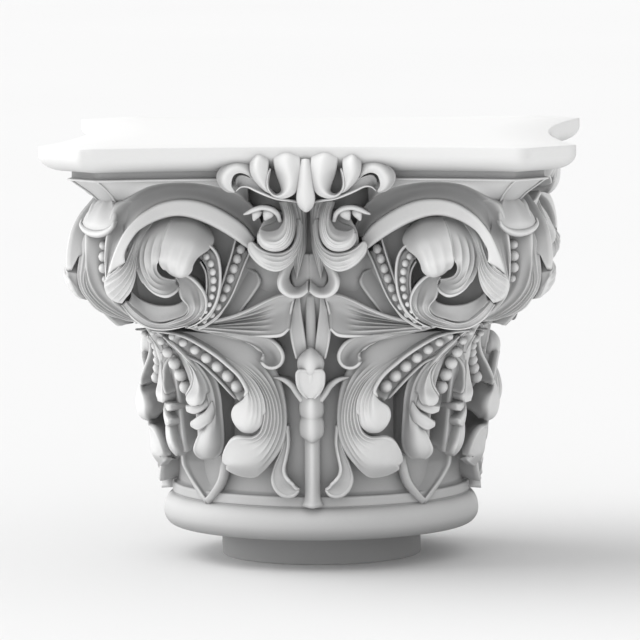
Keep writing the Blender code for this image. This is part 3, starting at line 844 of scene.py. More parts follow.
def fan_leaf():
    """The broad leaf that spreads from the corner to the middle over the main leaf, over a web: grooves
    run out along it from the corner, a flap lies on its upper part, and a cupped curl hangs under it."""
    web_top = [
        (114, 240, 160), (99, 249, 160), (84, 264, 161), (71, 284, 162), (60, 303, 162), (50, 314, 162),
    ]
    web_middle = [
        (112, 239, 160), (92, 245, 158), (70, 256, 158), (48, 268, 158), (30, 281, 160), (16, 292, 162),
    ]
    web_low = [
        (112, 238, 160), (90, 240.5, 160), (66, 246, 161), (42, 254, 163), (24, 262, 165), (10, 266, 166),
    ]
    top = [
        (118, 238, 166), (96, 240.5, 168), (74, 245.5, 169.5), (56, 253, 171), (40, 261.5, 173),
        (26, 267, 175), (12, 267, 175),
    ]
    middle = [
        (118, 237, 166), (96, 237.5, 164), (72, 240, 162.5), (52, 243, 162.5), (36, 247, 163.5),
        (25, 251, 165.5), (16, 253, 167.5),
    ]
    bottom = [
        (118, 235.5, 167), (95, 234, 168.5), (70, 231, 171.5), (50, 228.5, 175), (36, 227.5, 178.5),
        (26, 229, 180), (19, 235, 178),
    ]
    flap_top = [(98, 243, 155), (90, 254, 156), (82, 268, 157), (75, 282, 158), (66, 296, 159)]
    flap_low = [(68, 246, 163), (60, 257, 164.5), (52, 268, 166), (46.5, 278, 166.5), (50, 287, 165)]
    curl_out = [
        (118, 236, 157), (92, 231.5, 161), (66, 229.5, 164), (47, 227, 166), (34, 221, 165.5),
        (27, 212, 164), (26, 204, 162.5), (30, 198, 161.5), (37, 196, 161.5), (43, 198, 162),
        (47, 203, 162),
    ]
    curl_hollow = [
        (118, 235, 156), (93, 229.5, 160), (70, 226.5, 161), (54, 222, 158), (43, 215, 154),
        (37, 208, 152), (36.5, 203.5, 152), (39, 201.5, 153.5), (43, 202, 156), (46, 204.5, 159.5),
    ]
    curl_in = [
        (118, 234, 155), (94, 228, 158), (74, 224, 158.5), (60, 219.5, 157), (51, 215, 155.5),
        (46, 211, 155), (44.5, 208.5, 155.5), (45.5, 206.5, 158),
    ]
    return [
        leaf(web_low, web_middle, web_top, rows=24, columns=15, edge=0.6, tip=False),
        leaf(
            top, middle, bottom, rows=52, columns=61, flutes=6, groove=5.0, fade=(0.05, 0.25, 0.55, 0.84),
            span=(0.2, 1.0), edge=1.8, rim=(0.9, 1.6),
        ),
        leaf(flap_top, flap_low, rows=34, columns=18, crown=-1.2, edge=0.9, rim=(0.9, 1.2), thick=2),
        leaf(
            curl_out, curl_hollow, curl_in, rows=40, columns=24, flutes=3, groove=1.2,
            fade=(0.1, 0.25, 0.4, 0.55), edge=1.8, rim=(0.9, 1.5),
        ),
    ]


def stem():
    """The stem on the middle line: collar, calyx and bud, with the small leaves and sheath beside it."""
    shaft = [(0, 64, 147, 11), (0, 70, 148, 9), (0, 80, 148, 8.5), (0, 131, 148, 8.5)]
    collar = [
        (0, 129, 149, 9), (0, 132, 151, 12.5), (0, 138, 152, 13.5), (0, 145, 152, 13),
        (0, 150.5, 150, 11),
    ]
    calyx = [
        (0, 149, 150, 11), (0, 153, 153, 13), (0, 160, 155, 13), (0, 170, 156, 12), (0, 182, 158, 13),
        (0, 190, 160, 13.5), (0, 196, 161, 12.5),
    ]
    bib = [
        (0, 168, 167.5, 5), (0, 173, 169, 9.5), (0, 180, 170.5, 13), (0, 188, 172, 14),
        (0, 193, 173, 13.5), (0, 196.5, 173, 11),
    ]
    bud = [(0, 193, 160, 12), (0, 198, 163, 14.5), (0, 205, 164, 14), (0, 210, 163, 10), (0, 212, 160, 5)]
    side = [
        (8, 165, 158, 4), (13, 172, 159, 4), (18, 179, 158.5, 3.6), (25, 184, 157, 3), (32, 186, 154, 2),
        (37, 186, 151, 1.2),
    ]
    sheath_in = [(2.5, 206, 160), (4, 220, 161), (6, 236, 162), (8, 252, 164), (9, 268, 167)]
    sheath_out = [
        (14, 205, 163), (17, 217, 165), (19, 230, 167), (19.5, 243, 169), (17.5, 255, 171),
        (13, 268, 172),
    ]
    groove = [(0, 205, 156, 6), (0, 225, 157, 5), (0, 245, 159, 5), (0, 268, 163, 4)]
    middles = [
        ribbon(shaft, bulge=0.8, rows=24, columns=12, edge=1.5, tip=False),
        ribbon(collar, bulge=0.8, rows=21, columns=15, edge=2.5),
        ribbon(calyx, bulge=0.8, rows=28, columns=15, edge=2.0),
        ribbon(bib, bulge=-0.15, rows=28, columns=18, edge=1.2, rim=(1.2, 1.4), deep=12),
        ribbon(bud, bulge=0.75, rows=24, columns=15, edge=3.0),
        ribbon(groove, bulge=0.2, rows=12, columns=8, edge=0.5),
    ]
    halves = [
        ribbon(side, bulge=0.4, rows=24, columns=9, edge=1.6),
        leaf(sheath_in, sheath_out, rows=28, columns=12, crown=-0.8, edge=1.2, rim=(0.5, 1.2), thick=3),
    ]
    return halves, middles


def centre_leaf():
    """One of the pair of leaves under the fleuron: a fluted body, a round lobe turned in on itself, a
    band with an upturned end, a hooked tip with two teeth, and a heart-shaped lobe at the foot."""
    body_left = [
        (0.5, 356, 190), (0.5, 340, 184), (0.5, 325, 180), (1.5, 310, 179), (5, 298, 180),
        (10.5, 283, 181),
    ]
    body_middle = [
        (10, 357, 200), (7, 342, 195), (6, 326, 192), (6.5, 312, 190), (9, 300, 187), (11.5, 282, 182),
    ]
    body_right = [
        (24, 357, 203), (15, 344, 201), (12.5, 329, 199), (12, 315, 196), (13.5, 302, 191),
        (12.5, 283, 181),
    ]
    floor_left = [(14, 352, 194), (12, 335, 193), (14, 318, 192), (22, 304, 190)]
    floor_right = [(40, 340, 196), (46, 328, 197), (47, 316, 197), (42, 304, 195)]
    heart_out = [
        (14, 312, 188), (21, 301, 191), (27, 291, 193), (30, 281, 193), (28, 272.5, 192),
        (22, 266.5, 190), (14, 264, 188), (6, 266, 187), (0.5, 271, 186),
    ]
    heart_crest = [
        (11, 311, 189), (17, 300, 192), (22.5, 290, 194), (25, 281, 194), (23, 274, 192),
        (18, 269.5, 190), (12, 268.5, 188), (6, 270.5, 186), (1, 275, 184),
    ]
    heart_in = [
        (8, 310, 187), (11, 300, 186), (15, 291, 184), (17, 284, 182), (16, 279, 181), (13, 275.5, 180),
        (9, 275.5, 179), (5, 278, 179), (1, 282, 178),
    ]
    heart_floor = [
        (5, 306, 178, 5), (7, 296, 177, 8), (8, 287, 176, 9), (8, 278, 176, 8), (7, 271, 177, 4),
    ]
    round_left = [
        (14, 357, 201), (10, 342, 204), (10, 328, 207), (14, 317, 210), (22, 310.5, 212),
        (32, 309.5, 213), (41, 313, 213), (46.5, 320, 212), (47, 328, 211),
    ]
    round_middle = [
        (20, 357, 206), (16.5, 344, 211), (16.5, 332, 216), (20, 323, 220), (27, 318, 221),
        (34, 318, 220), (40, 320.5, 218), (43.5, 325, 215), (44.5, 329.5, 212),
    ]
    round_right = [
        (27, 356, 203), (24, 346, 204), (23.5, 338, 205), (27, 332.5, 206), (32, 330.5, 206),
        (37, 330, 207), (40.5, 331, 208), (43, 332, 209), (44, 331.5, 210),
    ]
    bowl = [(26, 346, 198), (28, 340, 196), (34, 336, 196), (40, 334, 198), (44, 331, 203)]
    bowl_low = [(20, 342, 205), (22, 333, 207), (28, 328, 208), (36, 327, 209), (43, 328.5, 210)]
    band_top = [
        (9, 340, 197), (9, 326, 200), (13, 316, 203.5), (20, 310.5, 205), (28, 309, 205.5),
        (37, 310.5, 205.5), (44, 314, 204.5), (48, 317.5, 203), (51, 319, 201),
    ]
    band_low = [
        (5, 333, 193), (6, 318, 196), (10, 305, 200), (17, 296, 203), (27, 291, 205), (37, 292.5, 206),
        (47, 298.5, 206), (54.5, 307, 204), (56.5, 314, 202), (54, 318, 200),
    ]
    hook = [
        (25, 338, 207, 2.4), (27.5, 345.5, 211, 3), (33, 350, 213, 3.2), (41, 351.5, 213, 3.2),
        (49, 349.5, 212, 3), (55, 346.5, 210, 2.4), (60, 344.5, 207, 1.2),
    ]
    tooth_in = [(34, 349, 210, 6), (36.5, 344.5, 210.5, 5.5), (38.5, 340.5, 209, 3), (39, 338.5, 208, 0.8)]
    tooth_out = [
        (46, 349, 209, 5.5), (47.5, 344.5, 209.5, 4.8), (49, 340.5, 208, 2.6), (49.5, 338, 207, 0.8),
    ]
    outward = {"facing": OUT}
    teeth = [
        ribbon(tooth, bulge=0.3, rows=15, columns=9, edge=1.2, deep=16, thick=2.5, late=0.5, **outward)
        for tooth in (tooth_in, tooth_out)
    ]
    return [
        leaf(
            body_left, body_middle, body_right, rows=34, columns=31, edge=1.4, flutes=5, groove=1.5,
            fade=(0.0, 0.1, 0.85, 1.0), tip=False, **outward,
        ),
        leaf(floor_left, floor_right, rows=18, columns=12, edge=0.6, tip=False, deep=20, **outward),
        leaf(heart_out, heart_crest, heart_in, rows=49, columns=15, edge=1.4, tip=False, **outward),
        ribbon(heart_floor, bulge=0.0, rows=18, columns=9, edge=0.6, **outward),
        leaf(
            round_left, round_middle, round_right, rows=49, columns=31, edge=1.8, flutes=5, groove=1.1,
            fade=(0.0, 0.12, 0.6, 0.85), span=(0.0, 0.75), **outward,
        ),
        leaf(bowl_low, bowl, rows=18, columns=9, edge=0.6, crown=-2, tip=False, **outward),
        leaf(
            band_low, band_top, rows=49, columns=25, edge=1.8, crown=2.0, flutes=4, groove=1.4,
            fade=(0.0, 0.15, 0.6, 0.8), rim=(0.8, 1.6), **outward,
        ),
        ribbon(hook, bulge=0.5, rows=31, columns=8, edge=1.4, deep=26, **outward),
    ] + teeth


def fleuron():
    """The flower in the middle of the abacus: a nose, and on either side a fold round a hollow eye, a
    standing petal, and a hood that curls over at its end, above a thin rim."""
    nose = [
        (0, 397, 224, 5), (0, 386, 228, 7), (0, 373, 229, 8.5), (0, 361, 227, 10), (0, 353, 223, 8),
        (0, 347.5, 219, 2.5),
    ]
    fold_out = [
        (5, 404, 216), (4, 396, 225), (3.5, 385, 228), (5, 373, 228), (10, 364.5, 227), (18, 360.5, 226),
        (26, 360.5, 225.5), (33, 364.5, 226), (37, 371.5, 226.5), (37.5, 381, 226), (35, 389, 224),
    ]
    fold_crest = [
        (18, 408, 214), (17, 400, 227), (16, 389, 232), (14.5, 377, 232), (16.5, 369.5, 231),
        (22, 364.3, 229.5), (28, 363.8, 229), (33, 367.8, 229), (35.2, 374, 229), (35, 381.5, 228.5),
        (33.2, 389, 226),
    ]
    fold_in = [
        (31, 406, 213), (31, 398, 222), (30, 390, 224), (28.5, 382.5, 222), (25.5, 375, 222),
        (23.5, 369, 222.5), (25, 366.5, 223), (29, 366, 223), (32.5, 369.5, 223.5), (33.5, 375, 224),
        (32.5, 382, 224), (31, 389, 224),
    ]
    petal_in = [
        (34, 403, 214), (33, 395, 224), (33.5, 387, 227), (34.5, 379, 227), (33.5, 371, 226),
        (30, 364, 224),
    ]
    petal = [
        (43.5, 406, 213), (44, 399, 228), (44.5, 390, 232.5), (43, 381, 231.5), (39, 372.5, 228.5),
        (33, 364.5, 225),
    ]
    petal_out = [
        (52, 401, 214), (53, 394, 222), (52.5, 386, 225), (50, 379.5, 225), (45, 373, 224),
        (38, 366.5, 222),
    ]
    hood_out = [
        (44, 384, 216), (48, 391.5, 217), (53, 394.5, 218), (61, 396, 219), (70.5, 395, 219),
        (79, 390, 218), (83.5, 382, 217.5), (81.5, 373.5, 217), (74.5, 367, 217), (67, 365.8, 217),
    ]
    hood = [
        (46, 380, 221), (50.5, 385.5, 223), (56, 389, 225.5), (63, 390.5, 227.5), (70.5, 388, 228.5),
        (75.5, 382, 228.5), (76.5, 375.5, 226.5), (73.5, 370, 223.5), (69.5, 367, 221), (66, 366, 218),
    ]
    hood_in = [
        (45, 375, 222), (49.5, 378.5, 223), (54, 382, 224), (60, 384.3, 225.5), (65.5, 382.5, 226.5),
        (68, 377, 226), (68, 372, 223.5), (66, 368.8, 220.5), (65, 367, 218),
    ]
    scoop_top = [
        (38, 374, 222), (44, 375, 222), (49.5, 378.5, 222), (55, 381.5, 221), (61, 382.5, 220),
        (65.5, 379, 218.5), (66, 371.5, 216),
    ]
    scoop_low = [
        (24, 361.5, 222.5), (33, 363.5, 223), (42, 366.8, 223), (50, 370.2, 222), (56, 372.5, 220.5),
        (60, 372, 218.5), (63, 369.5, 216),
    ]
    rim = [
        (6, 357, 216, 1.8), (15, 358.8, 221, 1.8), (26, 360.5, 223.5, 1.8), (36, 363.8, 224, 1.8),
        (46, 368, 223, 1.7), (54, 371.6, 221.5, 1.5), (60, 371.5, 220, 1.3), (64, 368.5, 219, 1.1),
        (66.5, 366, 218, 0.8),
    ]
    back = [(0, 366, 206, 12), (25, 376, 206, 16), (50, 381, 206, 12), (72, 382, 206, 7)]
    outward = {"facing": OUT, "deep": 26}
    halves = [
        leaf(fold_out, fold_crest, fold_in, rows=52, columns=24, edge=1.6, **outward),
        leaf(petal_in, petal, petal_out, rows=34, columns=21, edge=2.2, **outward),
        leaf(hood_out, hood, hood_in, rows=46, columns=24, edge=1.6, rim=(0.5, 1.3), thick=2.5, **outward),
        leaf(scoop_low, scoop_top, rows=31, columns=15, edge=1.2, crown=-2.5, tip=False, **outward),
        ribbon(rim, bulge=0.7, rows=31, columns=8, edge=1.0, **outward),
        ribbon(back, bulge=0.1, rows=18, columns=9, edge=1.5, **outward),
    ]
    return halves, [ribbon(nose, bulge=0.5, rows=28, columns=15, edge=2.4, **outward)]


def roundel():
    """The scroll at the corner: its floor, the flat strap, the cove round it and the ring at its foot."""
    strap_out = [
        (50, 321, 193), (60, 334, 194), (75, 345, 196), (90, 353, 198.5), (105, 357.5, 201),
        (120, 358.5, 203.5), (133, 356.5, 206.5), (145, 351.6, 210.5), (158.5, 342, 218),
        (170, 328, 224.5), (177.7, 312, 227.5), (182, 300, 228), (184.3, 290.5, 227.5),
    ]
    strap_in = [
        (53.5, 309.5, 193), (65, 318, 194), (80, 328, 196.5), (95, 336, 199), (110, 341.5, 201.5),
        (122, 343, 204), (134, 341, 207), (146, 336.5, 212.5), (156.3, 330.5, 219), (163, 322, 223.5),
        (167.5, 314, 226), (168.8, 308, 227), (168, 302, 227.5),
    ]
    cove_in = [(x, z - 1, y - 12) for x, z, y in strap_out[:10]]
    cove_low = [
        (44, 324, 177), (54, 342, 177), (68, 352, 178), (84, 361, 180), (104, 367, 183), (122, 368, 186),
        (140, 366, 189), (155, 359, 192), (166, 349, 196), (173, 337, 199),
    ]
    cove_out = [
        (43, 332, 178), (51, 348, 179), (63, 361, 181), (76, 368, 184), (90, 372, 188), (110, 374.5, 192),
        (130, 374.5, 195), (146, 372, 197), (159, 366, 199), (170, 359, 200), (178, 348, 202),
    ]
    floor_left = [(62, 330, 172), (68, 300, 170), (78, 275, 168), (92, 252, 166), (112, 240, 163)]
    floor_middle = [(110, 345, 172), (112, 315, 166), (114, 290, 164), (118, 265, 163), (125, 242, 162)]
    floor_right = [(166, 335, 180), (171, 305, 178), (172, 285, 177), (164, 264, 172), (150, 246, 165)]
    ring_out = [
        (122, 290, 206), (111, 285.5, 202), (102.5, 277.5, 200), (97, 267.5, 199), (96, 257, 197.5),
        (99.5, 248.5, 194.5), (107, 242, 190), (119, 237.5, 185.5), (134, 234.5, 183.5),
        (148, 235.5, 184.5), (159, 241, 189), (168, 249.5, 195.5), (175, 260, 202),
    ]
    ring_middle = [
        (121, 287, 197), (112, 281, 191), (107, 273, 189), (104.5, 264.5, 190), (104, 256.5, 192),
        (106.5, 250, 190.5), (112.5, 244.5, 187), (122, 240.5, 183.5), (135, 237.5, 182),
        (147, 238.5, 183), (157, 243.5, 187.5), (165.5, 251.5, 194), (172.5, 261.5, 200),
    ]
    ring_in = [
        (124, 285, 199), (121.5, 279, 195), (121.5, 272.5, 193), (119.5, 265.5, 193), (114.5, 259.5, 193),
        (113, 253.5, 191), (117, 247.5, 188), (126, 243.5, 185.5), (137, 240.5, 184.5),
        (147, 241.5, 185.5), (155.5, 246.5, 189.5), (163.5, 254.5, 195), (170.5, 263.5, 200),
    ]
    dish_top = [
        (118, 265, 184), (121, 260.5, 183.5), (131, 257.5, 183), (145, 258.5, 184), (157, 264, 187),
        (166, 273, 192),
    ]
    dish_low = [
        (112, 256.5, 191), (117, 248.5, 186), (127, 244.5, 183.5), (138, 241.5, 182.5),
        (148, 242.5, 183.5), (157, 247.5, 188), (168, 262, 197),
    ]
    dish_middle = [
        (115, 261, 187), (119, 254.5, 184), (129, 250.5, 182), (140, 249, 182), (152, 252, 184.5),
        (166, 267, 194),
    ]
    outward = {"facing": OUT}
    return [
        leaf(
            strap_out, strap_in, rows=61, columns=9, edge=1.2, tip=False, deep=26, undercut=0.97, **outward,
        ),
        leaf(
            cove_in, cove_low, cove_out, rows=55, columns=10, edge=0.8, tip=False, deep=22, undercut=0.98,
            **outward,
        ),
        leaf(
            floor_left, floor_middle, floor_right, rows=18, columns=18, edge=0.8, tip=False, deep=24,
            **outward,
        ),
        leaf(
            ring_out, ring_middle, ring_in, rows=64, columns=24, edge=1.0, rim=(0.5, 1.1), deep=16,
            tip=False, flutes=3, groove=2.0, fade=(0.12, 0.25, 0.45, 0.62),
        ),
        leaf(dish_low, dish_middle, dish_top, rows=31, columns=18, edge=1.2, tip=False, deep=14, **outward),
    ]


def roundel_leaf():
    """The leaf that fills the roundel: a smooth dome whose flutes run down into a front that curls in on
    the left, a lobe that turns under its eye, and a broad lobe that laps over the strap's end."""
    dome_out = [
        (90, 329, 182), (86.5, 319, 190), (91, 311, 199), (100, 305, 210.5), (104, 299, 215.5),
        (105.5, 293, 215.5), (109, 288.5, 213.5), (113, 287.5, 211.5),
    ]
    dome = [
        (107, 340, 188), (104.5, 330, 200), (107, 318, 215.5), (112, 306, 224.5), (115, 297, 227.5),
        (117, 290.5, 224.5), (118, 287, 218.5), (119, 285.8, 212.5),
    ]
    seam = [(126, 342, 192), (131, 332, 207.5), (135, 318, 218.5), (137, 305, 223.5)]
    dome_in = seam + [(136, 297.5, 219), (131, 291.5, 215), (126, 287.5, 210)]
    curl_in = seam + [(138.5, 295, 216), (135.5, 288.5, 208), (129, 285.5, 202), (122, 284.5, 198)]
    curl = [
        (135, 341, 194), (144, 329, 206), (150, 315, 215), (151, 301, 219), (147, 289, 218),
        (140, 281, 212), (131, 278.5, 205), (122.5, 280.5, 199),
    ]
    curl_out = [
        (143, 338, 195), (153, 326, 205), (159, 313, 211), (160, 299, 214), (155.5, 285.5, 216),
        (149, 276.5, 217), (140, 270.5, 216), (130, 268.5, 213), (122, 272.5, 206), (120, 277, 202),
    ]
    broad = (
        [(156, 334, 200), (163, 322, 208), (167.5, 312, 216), (170, 303.5, 224.5), (174.5, 297.5, 229.5),
         (181, 293, 229.5), (186, 289, 226)],
        [(152.5, 335, 200), (159.5, 321, 210), (163.5, 309, 219), (168, 298, 227), (175, 290.5, 231),
         (183, 285.5, 229.5), (189.5, 281, 224)],
        [(147.5, 336, 199), (156, 321, 209), (160, 307, 217), (163.5, 294.5, 226), (170.5, 284.5, 230),
         (179, 276.5, 228), (187, 270, 220)],
        [(145, 337.5, 198), (154, 322, 208), (158.5, 307.5, 214.5), (160.5, 293, 222), (165.5, 281, 226),
         (173, 271, 224), (180.5, 263.5, 216)],
        [(143, 338.5, 197), (152.5, 323, 206), (156.5, 309, 211.5), (157, 296, 215), (158.5, 284.5, 218),
         (162.5, 273.5, 218), (168.5, 266, 215), (173, 260.5, 210)],
    )
    eye = [(110, 294, 203, 2), (114, 291, 204, 3), (118, 289, 203, 3)]
    outward = {"facing": OUT, "deep": 30, "undercut": 0.55}
    return [
        leaf(
            dome_out, dome, dome_in, rows=46, columns=36, edge=3.0, flutes=3, groove=1.0,
            fade=(0.35, 0.55, 0.75, 0.92), span=(0.45, 1.0), free=(0.0, 0.86), **outward,
        ),
        leaf(
            curl_in, curl, curl_out, rows=55, columns=37, edge=2.0, flutes=4, groove=1.8,
            fade=(0.22, 0.45, 0.66, 0.9), free=(0.62, 0.6), rim=(0.7, 1.5), **outward,
        ),
        leaf(
            *broad, rows=46, columns=55, edge=2.0, flutes=6, groove=1.9, fade=(0.2, 0.5, 0.9, 1.0),
            free=(0.4, 0.55), **outward,
        ),
        ribbon(eye, facing=OUT, bulge=-0.3, rows=12, columns=8, edge=0.5, deep=20),
    ]


INNER_BEADS = [
    (95, 304.5, 196, 3.4), (90.5, 297, 196, 3.5), (89, 288.5, 196, 3.5), (88.5, 280.5, 195.5, 3.4),
    (89, 272.5, 195, 3.1), (90.5, 265.5, 194.5, 2.8), (93, 258.5, 194, 2.5), (96.5, 252, 193, 2.1),
    (101, 246.5, 192, 1.7),
]
UPPER_BEADS = [
    (64, 310, 178, 4.4), (68, 299, 179, 4.4), (72, 287.5, 180, 4.2), (76, 276.5, 180, 4.0),
    (80, 266.5, 180, 3.7), (84.5, 258, 179.5, 3.4), (89, 250.5, 178.5, 3.0), (95, 245, 177, 2.6),
    (101, 240.5, 175.5, 2.2), (107, 237.5, 174, 1.8),
]


def roundel_beads():
    """Two curved runs of beads between ridges, left of the roundel's leaf."""
    inner_floor = [(102, 309, 191, 5)] + [(x - 1, z, y - 3, radius + 3) for x, z, y, radius in INNER_BEADS]
    inner_rim = [
        (104, 311, 196, 1.6), (98, 315.5, 197, 1.8), (91, 314, 197, 2), (85, 306, 196.5, 2.1),
        (82.5, 294, 196, 2.1), (82.5, 280, 195.5, 2), (85, 266, 195, 1.9), (90, 255, 194, 1.7),
        (97, 247, 193, 1.5), (106, 240.5, 192, 1.2), (115, 237, 190, 1),
    ]
    inner_back = [
        (101, 300, 194, 1.4), (96, 290, 193, 1.5), (95, 278, 193, 1.5), (96, 268, 193, 1.4),
        (98, 258, 193, 1.3), (102, 251, 192, 1.2),
    ]
    upper_floor = [(x, z, y - 3.6, radius + 3.2) for x, z, y, radius in UPPER_BEADS]
    upper_in = [
        (68, 321, 183, 1.6), (72.5, 305, 182, 1.7), (76.5, 293, 182, 1.7), (81, 279, 182, 1.7),
        (86, 266, 181.5, 1.6), (92.5, 255, 180.5, 1.5), (101, 246, 179, 1.3), (111, 239, 176, 1.1),
    ]
    upper_out = [
        (54, 310, 178, 1.6), (60, 297, 178, 1.7), (66, 282, 178, 1.7), (72, 268, 178, 1.7),
        (79, 256, 177.5, 1.6), (88, 246, 176, 1.4), (100, 238, 174, 1.1), (112, 236, 172, 1),
    ]
    outward = {"facing": OUT}
    return [
        ribbon(inner_floor, bulge=0.0, rows=31, columns=8, edge=0.5, deep=18, **outward),
        ridge(inner_rim, rows=43, edge=1.2, deep=24, **outward),
        ridge(inner_back, rows=31, edge=1.0, deep=20, **outward),
        ribbon(upper_floor, bulge=0.0, rows=31, columns=8, edge=0.5, deep=20, **outward),
        ridge(upper_in, rows=37, edge=1.1, deep=24, **outward),
        ridge(upper_out, rows=37, edge=1.1, deep=22, **outward),
        *beads(INNER_BEADS, 9, long=1.05),
        *beads(UPPER_BEADS, 10, long=1.1),
    ]


def corner_volute():
    """The fluted backs of two roundels, drawn as one leaf over the corner, with beads down their valley,
    under a small cupped cap with a rolled lip."""
    edge = [
        (142, 352, 190), (156, 344, 198), (169, 329, 209), (176.5, 314, 214.5), (181, 301, 216.5),
        (184, 290, 217.5), (186, 281, 217), (185.5, 271, 214), (181, 261.5, 208), (174, 252.5, 201),
        (164, 245, 189), (153, 239.5, 172),
    ]
    hollow = [
        (155, 356, 190), (168, 348, 196.5), (176, 334, 202), (180.5, 319, 206), (183.5, 305, 208),
        (186, 292, 210), (187.5, 281, 211), (186.5, 271, 208), (181.5, 261.5, 202), (173.5, 252.5, 193.5),
        (163.5, 244.5, 181.5), (152.5, 238.5, 166),
    ]
    wall = [
        (172, 358, 199), (179.5, 352, 204), (184.5, 338, 208), (187.5, 323, 208.5), (189, 309, 208.5),
        (189, 296, 208), (188.5, 284, 206), (186, 273, 202), (180.5, 262.5, 195), (172, 253, 185),
        (162, 244.5, 173), (151.5, 238, 160),
    ]
    valley = [
        (183, 358, 183), (187, 349, 187), (188.5, 337, 188.5), (189, 323, 189), (189, 309, 189),
        (188.5, 296, 188.5), (187, 284, 187), (184, 273, 184), (178, 262, 178), (169.5, 252.5, 169.5),
        (160, 244, 160), (150.5, 237, 150.5),
    ]
    cap_side = [
        (183, 358, 196), (180.5, 352, 202), (179.5, 346, 207.5), (179.8, 340, 211), (181, 335.5, 213),
    ]
    cap_rim = [
        (186, 360, 191), (186, 352, 197), (186.5, 344, 202.5), (187.5, 336.5, 207), (188, 330.5, 209),
    ]
    cap_middle = [
        (189, 361, 189), (193, 352, 193), (196.5, 343, 196.5), (198.5, 335, 198.5), (198.5, 328, 198.5),
    ]
    lip = [
        (179.5, 339, 212.5, 1.0), (181.5, 334, 213.5, 2.4), (186, 329.8, 210.5, 3.4),
        (192, 327, 205, 4.0), (198.5, 326, 198.5, 4.2),
    ]
    lip += across(reversed(lip[:-1]))
    column = [
        (191, 315, 191, 4.8), (191.5, 303, 191.5, 5.2), (191.5, 291.5, 191.5, 4.8), (190, 283, 190, 3.6),
    ]
    wall_rails = [edge, hollow, wall, valley, across(wall), across(hollow), across(edge)]
    cap_rails = [cap_side, cap_rim, cap_middle, across(cap_rim), across(cap_side)]
    return [
        leaf(
            *wall_rails, facing=CORNER, rows=55, columns=67, edge=1.0, flutes=12, groove=1.7,
            fade=(0.3, 0.5, 0.9, 1.0), deep=50, undercut=0.3, late=0.0,
        ),
        leaf(*cap_rails, facing=CORNER, rows=28, columns=31, edge=1.4, deep=24, thick=3.0),
        ribbon(lip, facing=CORNER, bulge=0.7, rows=49, columns=8, edge=1.2, deep=4, thick=2, tip=False),
    ] + beads(column, 4)


class CAPITAL_OT_base(bpy.types.Operator):
    """Turns the spigot, torus, neck and bell."""

    bl_idname = "capital.base"
    bl_label = "Base and Bell"

    def execute(self, context):
        stone_piece("base_and_bell", whole=[turned(base_profile())])
        return {"FINISHED"}


class CAPITAL_OT_abacus(bpy.types.Operator):
    """Lofts the moulded abacus."""

    bl_idname = "capital.abacus"
    bl_label = "Abacus"

    def execute(self, context):
        halves, corners = cavetto()
        stone_piece("abacus", halves=halves, corners=corners, whole=[abacus_skin()])
        return {"FINISHED"}


class CAPITAL_OT_large_leaves(bpy.types.Operator):
    """Carves the large leaves round the bell."""

    bl_idname = "capital.large_leaves"
    bl_label = "Large Leaves"

    def execute(self, context):
        stone_piece("large_leaves", halves=main_leaf())
        return {"FINISHED"}


class CAPITAL_OT_second_leaves(bpy.types.Operator):
    """Carves the narrower leaves and the pointed leaf at each corner's foot."""

    bl_idname = "capital.second_leaves"
    bl_label = "Second Leaves"

    def execute(self, context):
        stone_piece("second_leaves", halves=second_leaf(), corners=pointed_leaf())
        return {"FINISHED"}


class CAPITAL_OT_strands(bpy.types.Operator):
    """Carves the beaded channels below the roundels."""

    bl_idname = "capital.strands"
    bl_label = "Beaded Channels"

    def execute(self, context):
        ridges, corner = corner_strand()
        stone_piece("beaded_channels", halves=side_strand() + ridges, corners=corner)
        return {"FINISHED"}


class CAPITAL_OT_fans(bpy.types.Operator):
    """Carves the fan leaves."""

    bl_idname = "capital.fans"
    bl_label = "Fan Leaves"

    def execute(self, context):
        stone_piece("fan_leaves", halves=fan_leaf())
        return {"FINISHED"}


class CAPITAL_OT_stems(bpy.types.Operator):
    """Carves the stem in the middle of each side."""

    bl_idname = "capital.stems"
    bl_label = "Stems"

    def execute(self, context):
        halves, middles = stem()
        stone_piece("stems", halves=halves, middles=middles)
        return {"FINISHED"}


class CAPITAL_OT_centre_leaves(bpy.types.Operator):
    """Carves the pairs of leaves under the fleurons."""

    bl_idname = "capital.centre_leaves"
    bl_label = "Centre Leaves"

    def execute(self, context):
        stone_piece("centre_leaves", halves=centre_leaf())
        return {"FINISHED"}


class CAPITAL_OT_fleurons(bpy.types.Operator):
    """Carves the flower in the middle of each side of the abacus."""

    bl_idname = "capital.fleurons"
    bl_label = "Fleurons"

    def execute(self, context):
        halves, middles = fleuron()
        stone_piece("fleurons", halves=halves, middles=middles)
        return {"FINISHED"}


class CAPITAL_OT_roundels(bpy.types.Operator):
    """Carves the scrolls at the corners."""

    bl_idname = "capital.roundels"
    bl_label = "Roundels"

    def execute(self, context):
        stone_piece("roundels", halves=roundel())
        return {"FINISHED"}


class CAPITAL_OT_roundel_leaves(bpy.types.Operator):
    """Carves the leaves that fill the roundels."""

    bl_idname = "capital.roundel_leaves"
    bl_label = "Roundel Leaves"

    def execute(self, context):
        stone_piece("roundel_leaves", halves=roundel_leaf())
        return {"FINISHED"}


class CAPITAL_OT_roundel_beads(bpy.types.Operator):
    """Carves the beads beside the roundels' leaves."""

    bl_idname = "capital.roundel_beads"
    bl_label = "Roundel Beads"

    def execute(self, context):
        stone_piece("roundel_beads", halves=roundel_beads())
        return {"FINISHED"}


class CAPITAL_OT_corners(bpy.types.Operator):
    """Carves the fluted corners between the roundels."""

    bl_idname = "capital.corners"
    bl_label = "Corners"

    def execute(self, context):
        stone_piece("corner_volutes", corners=corner_volute())
        return {"FINISHED"}


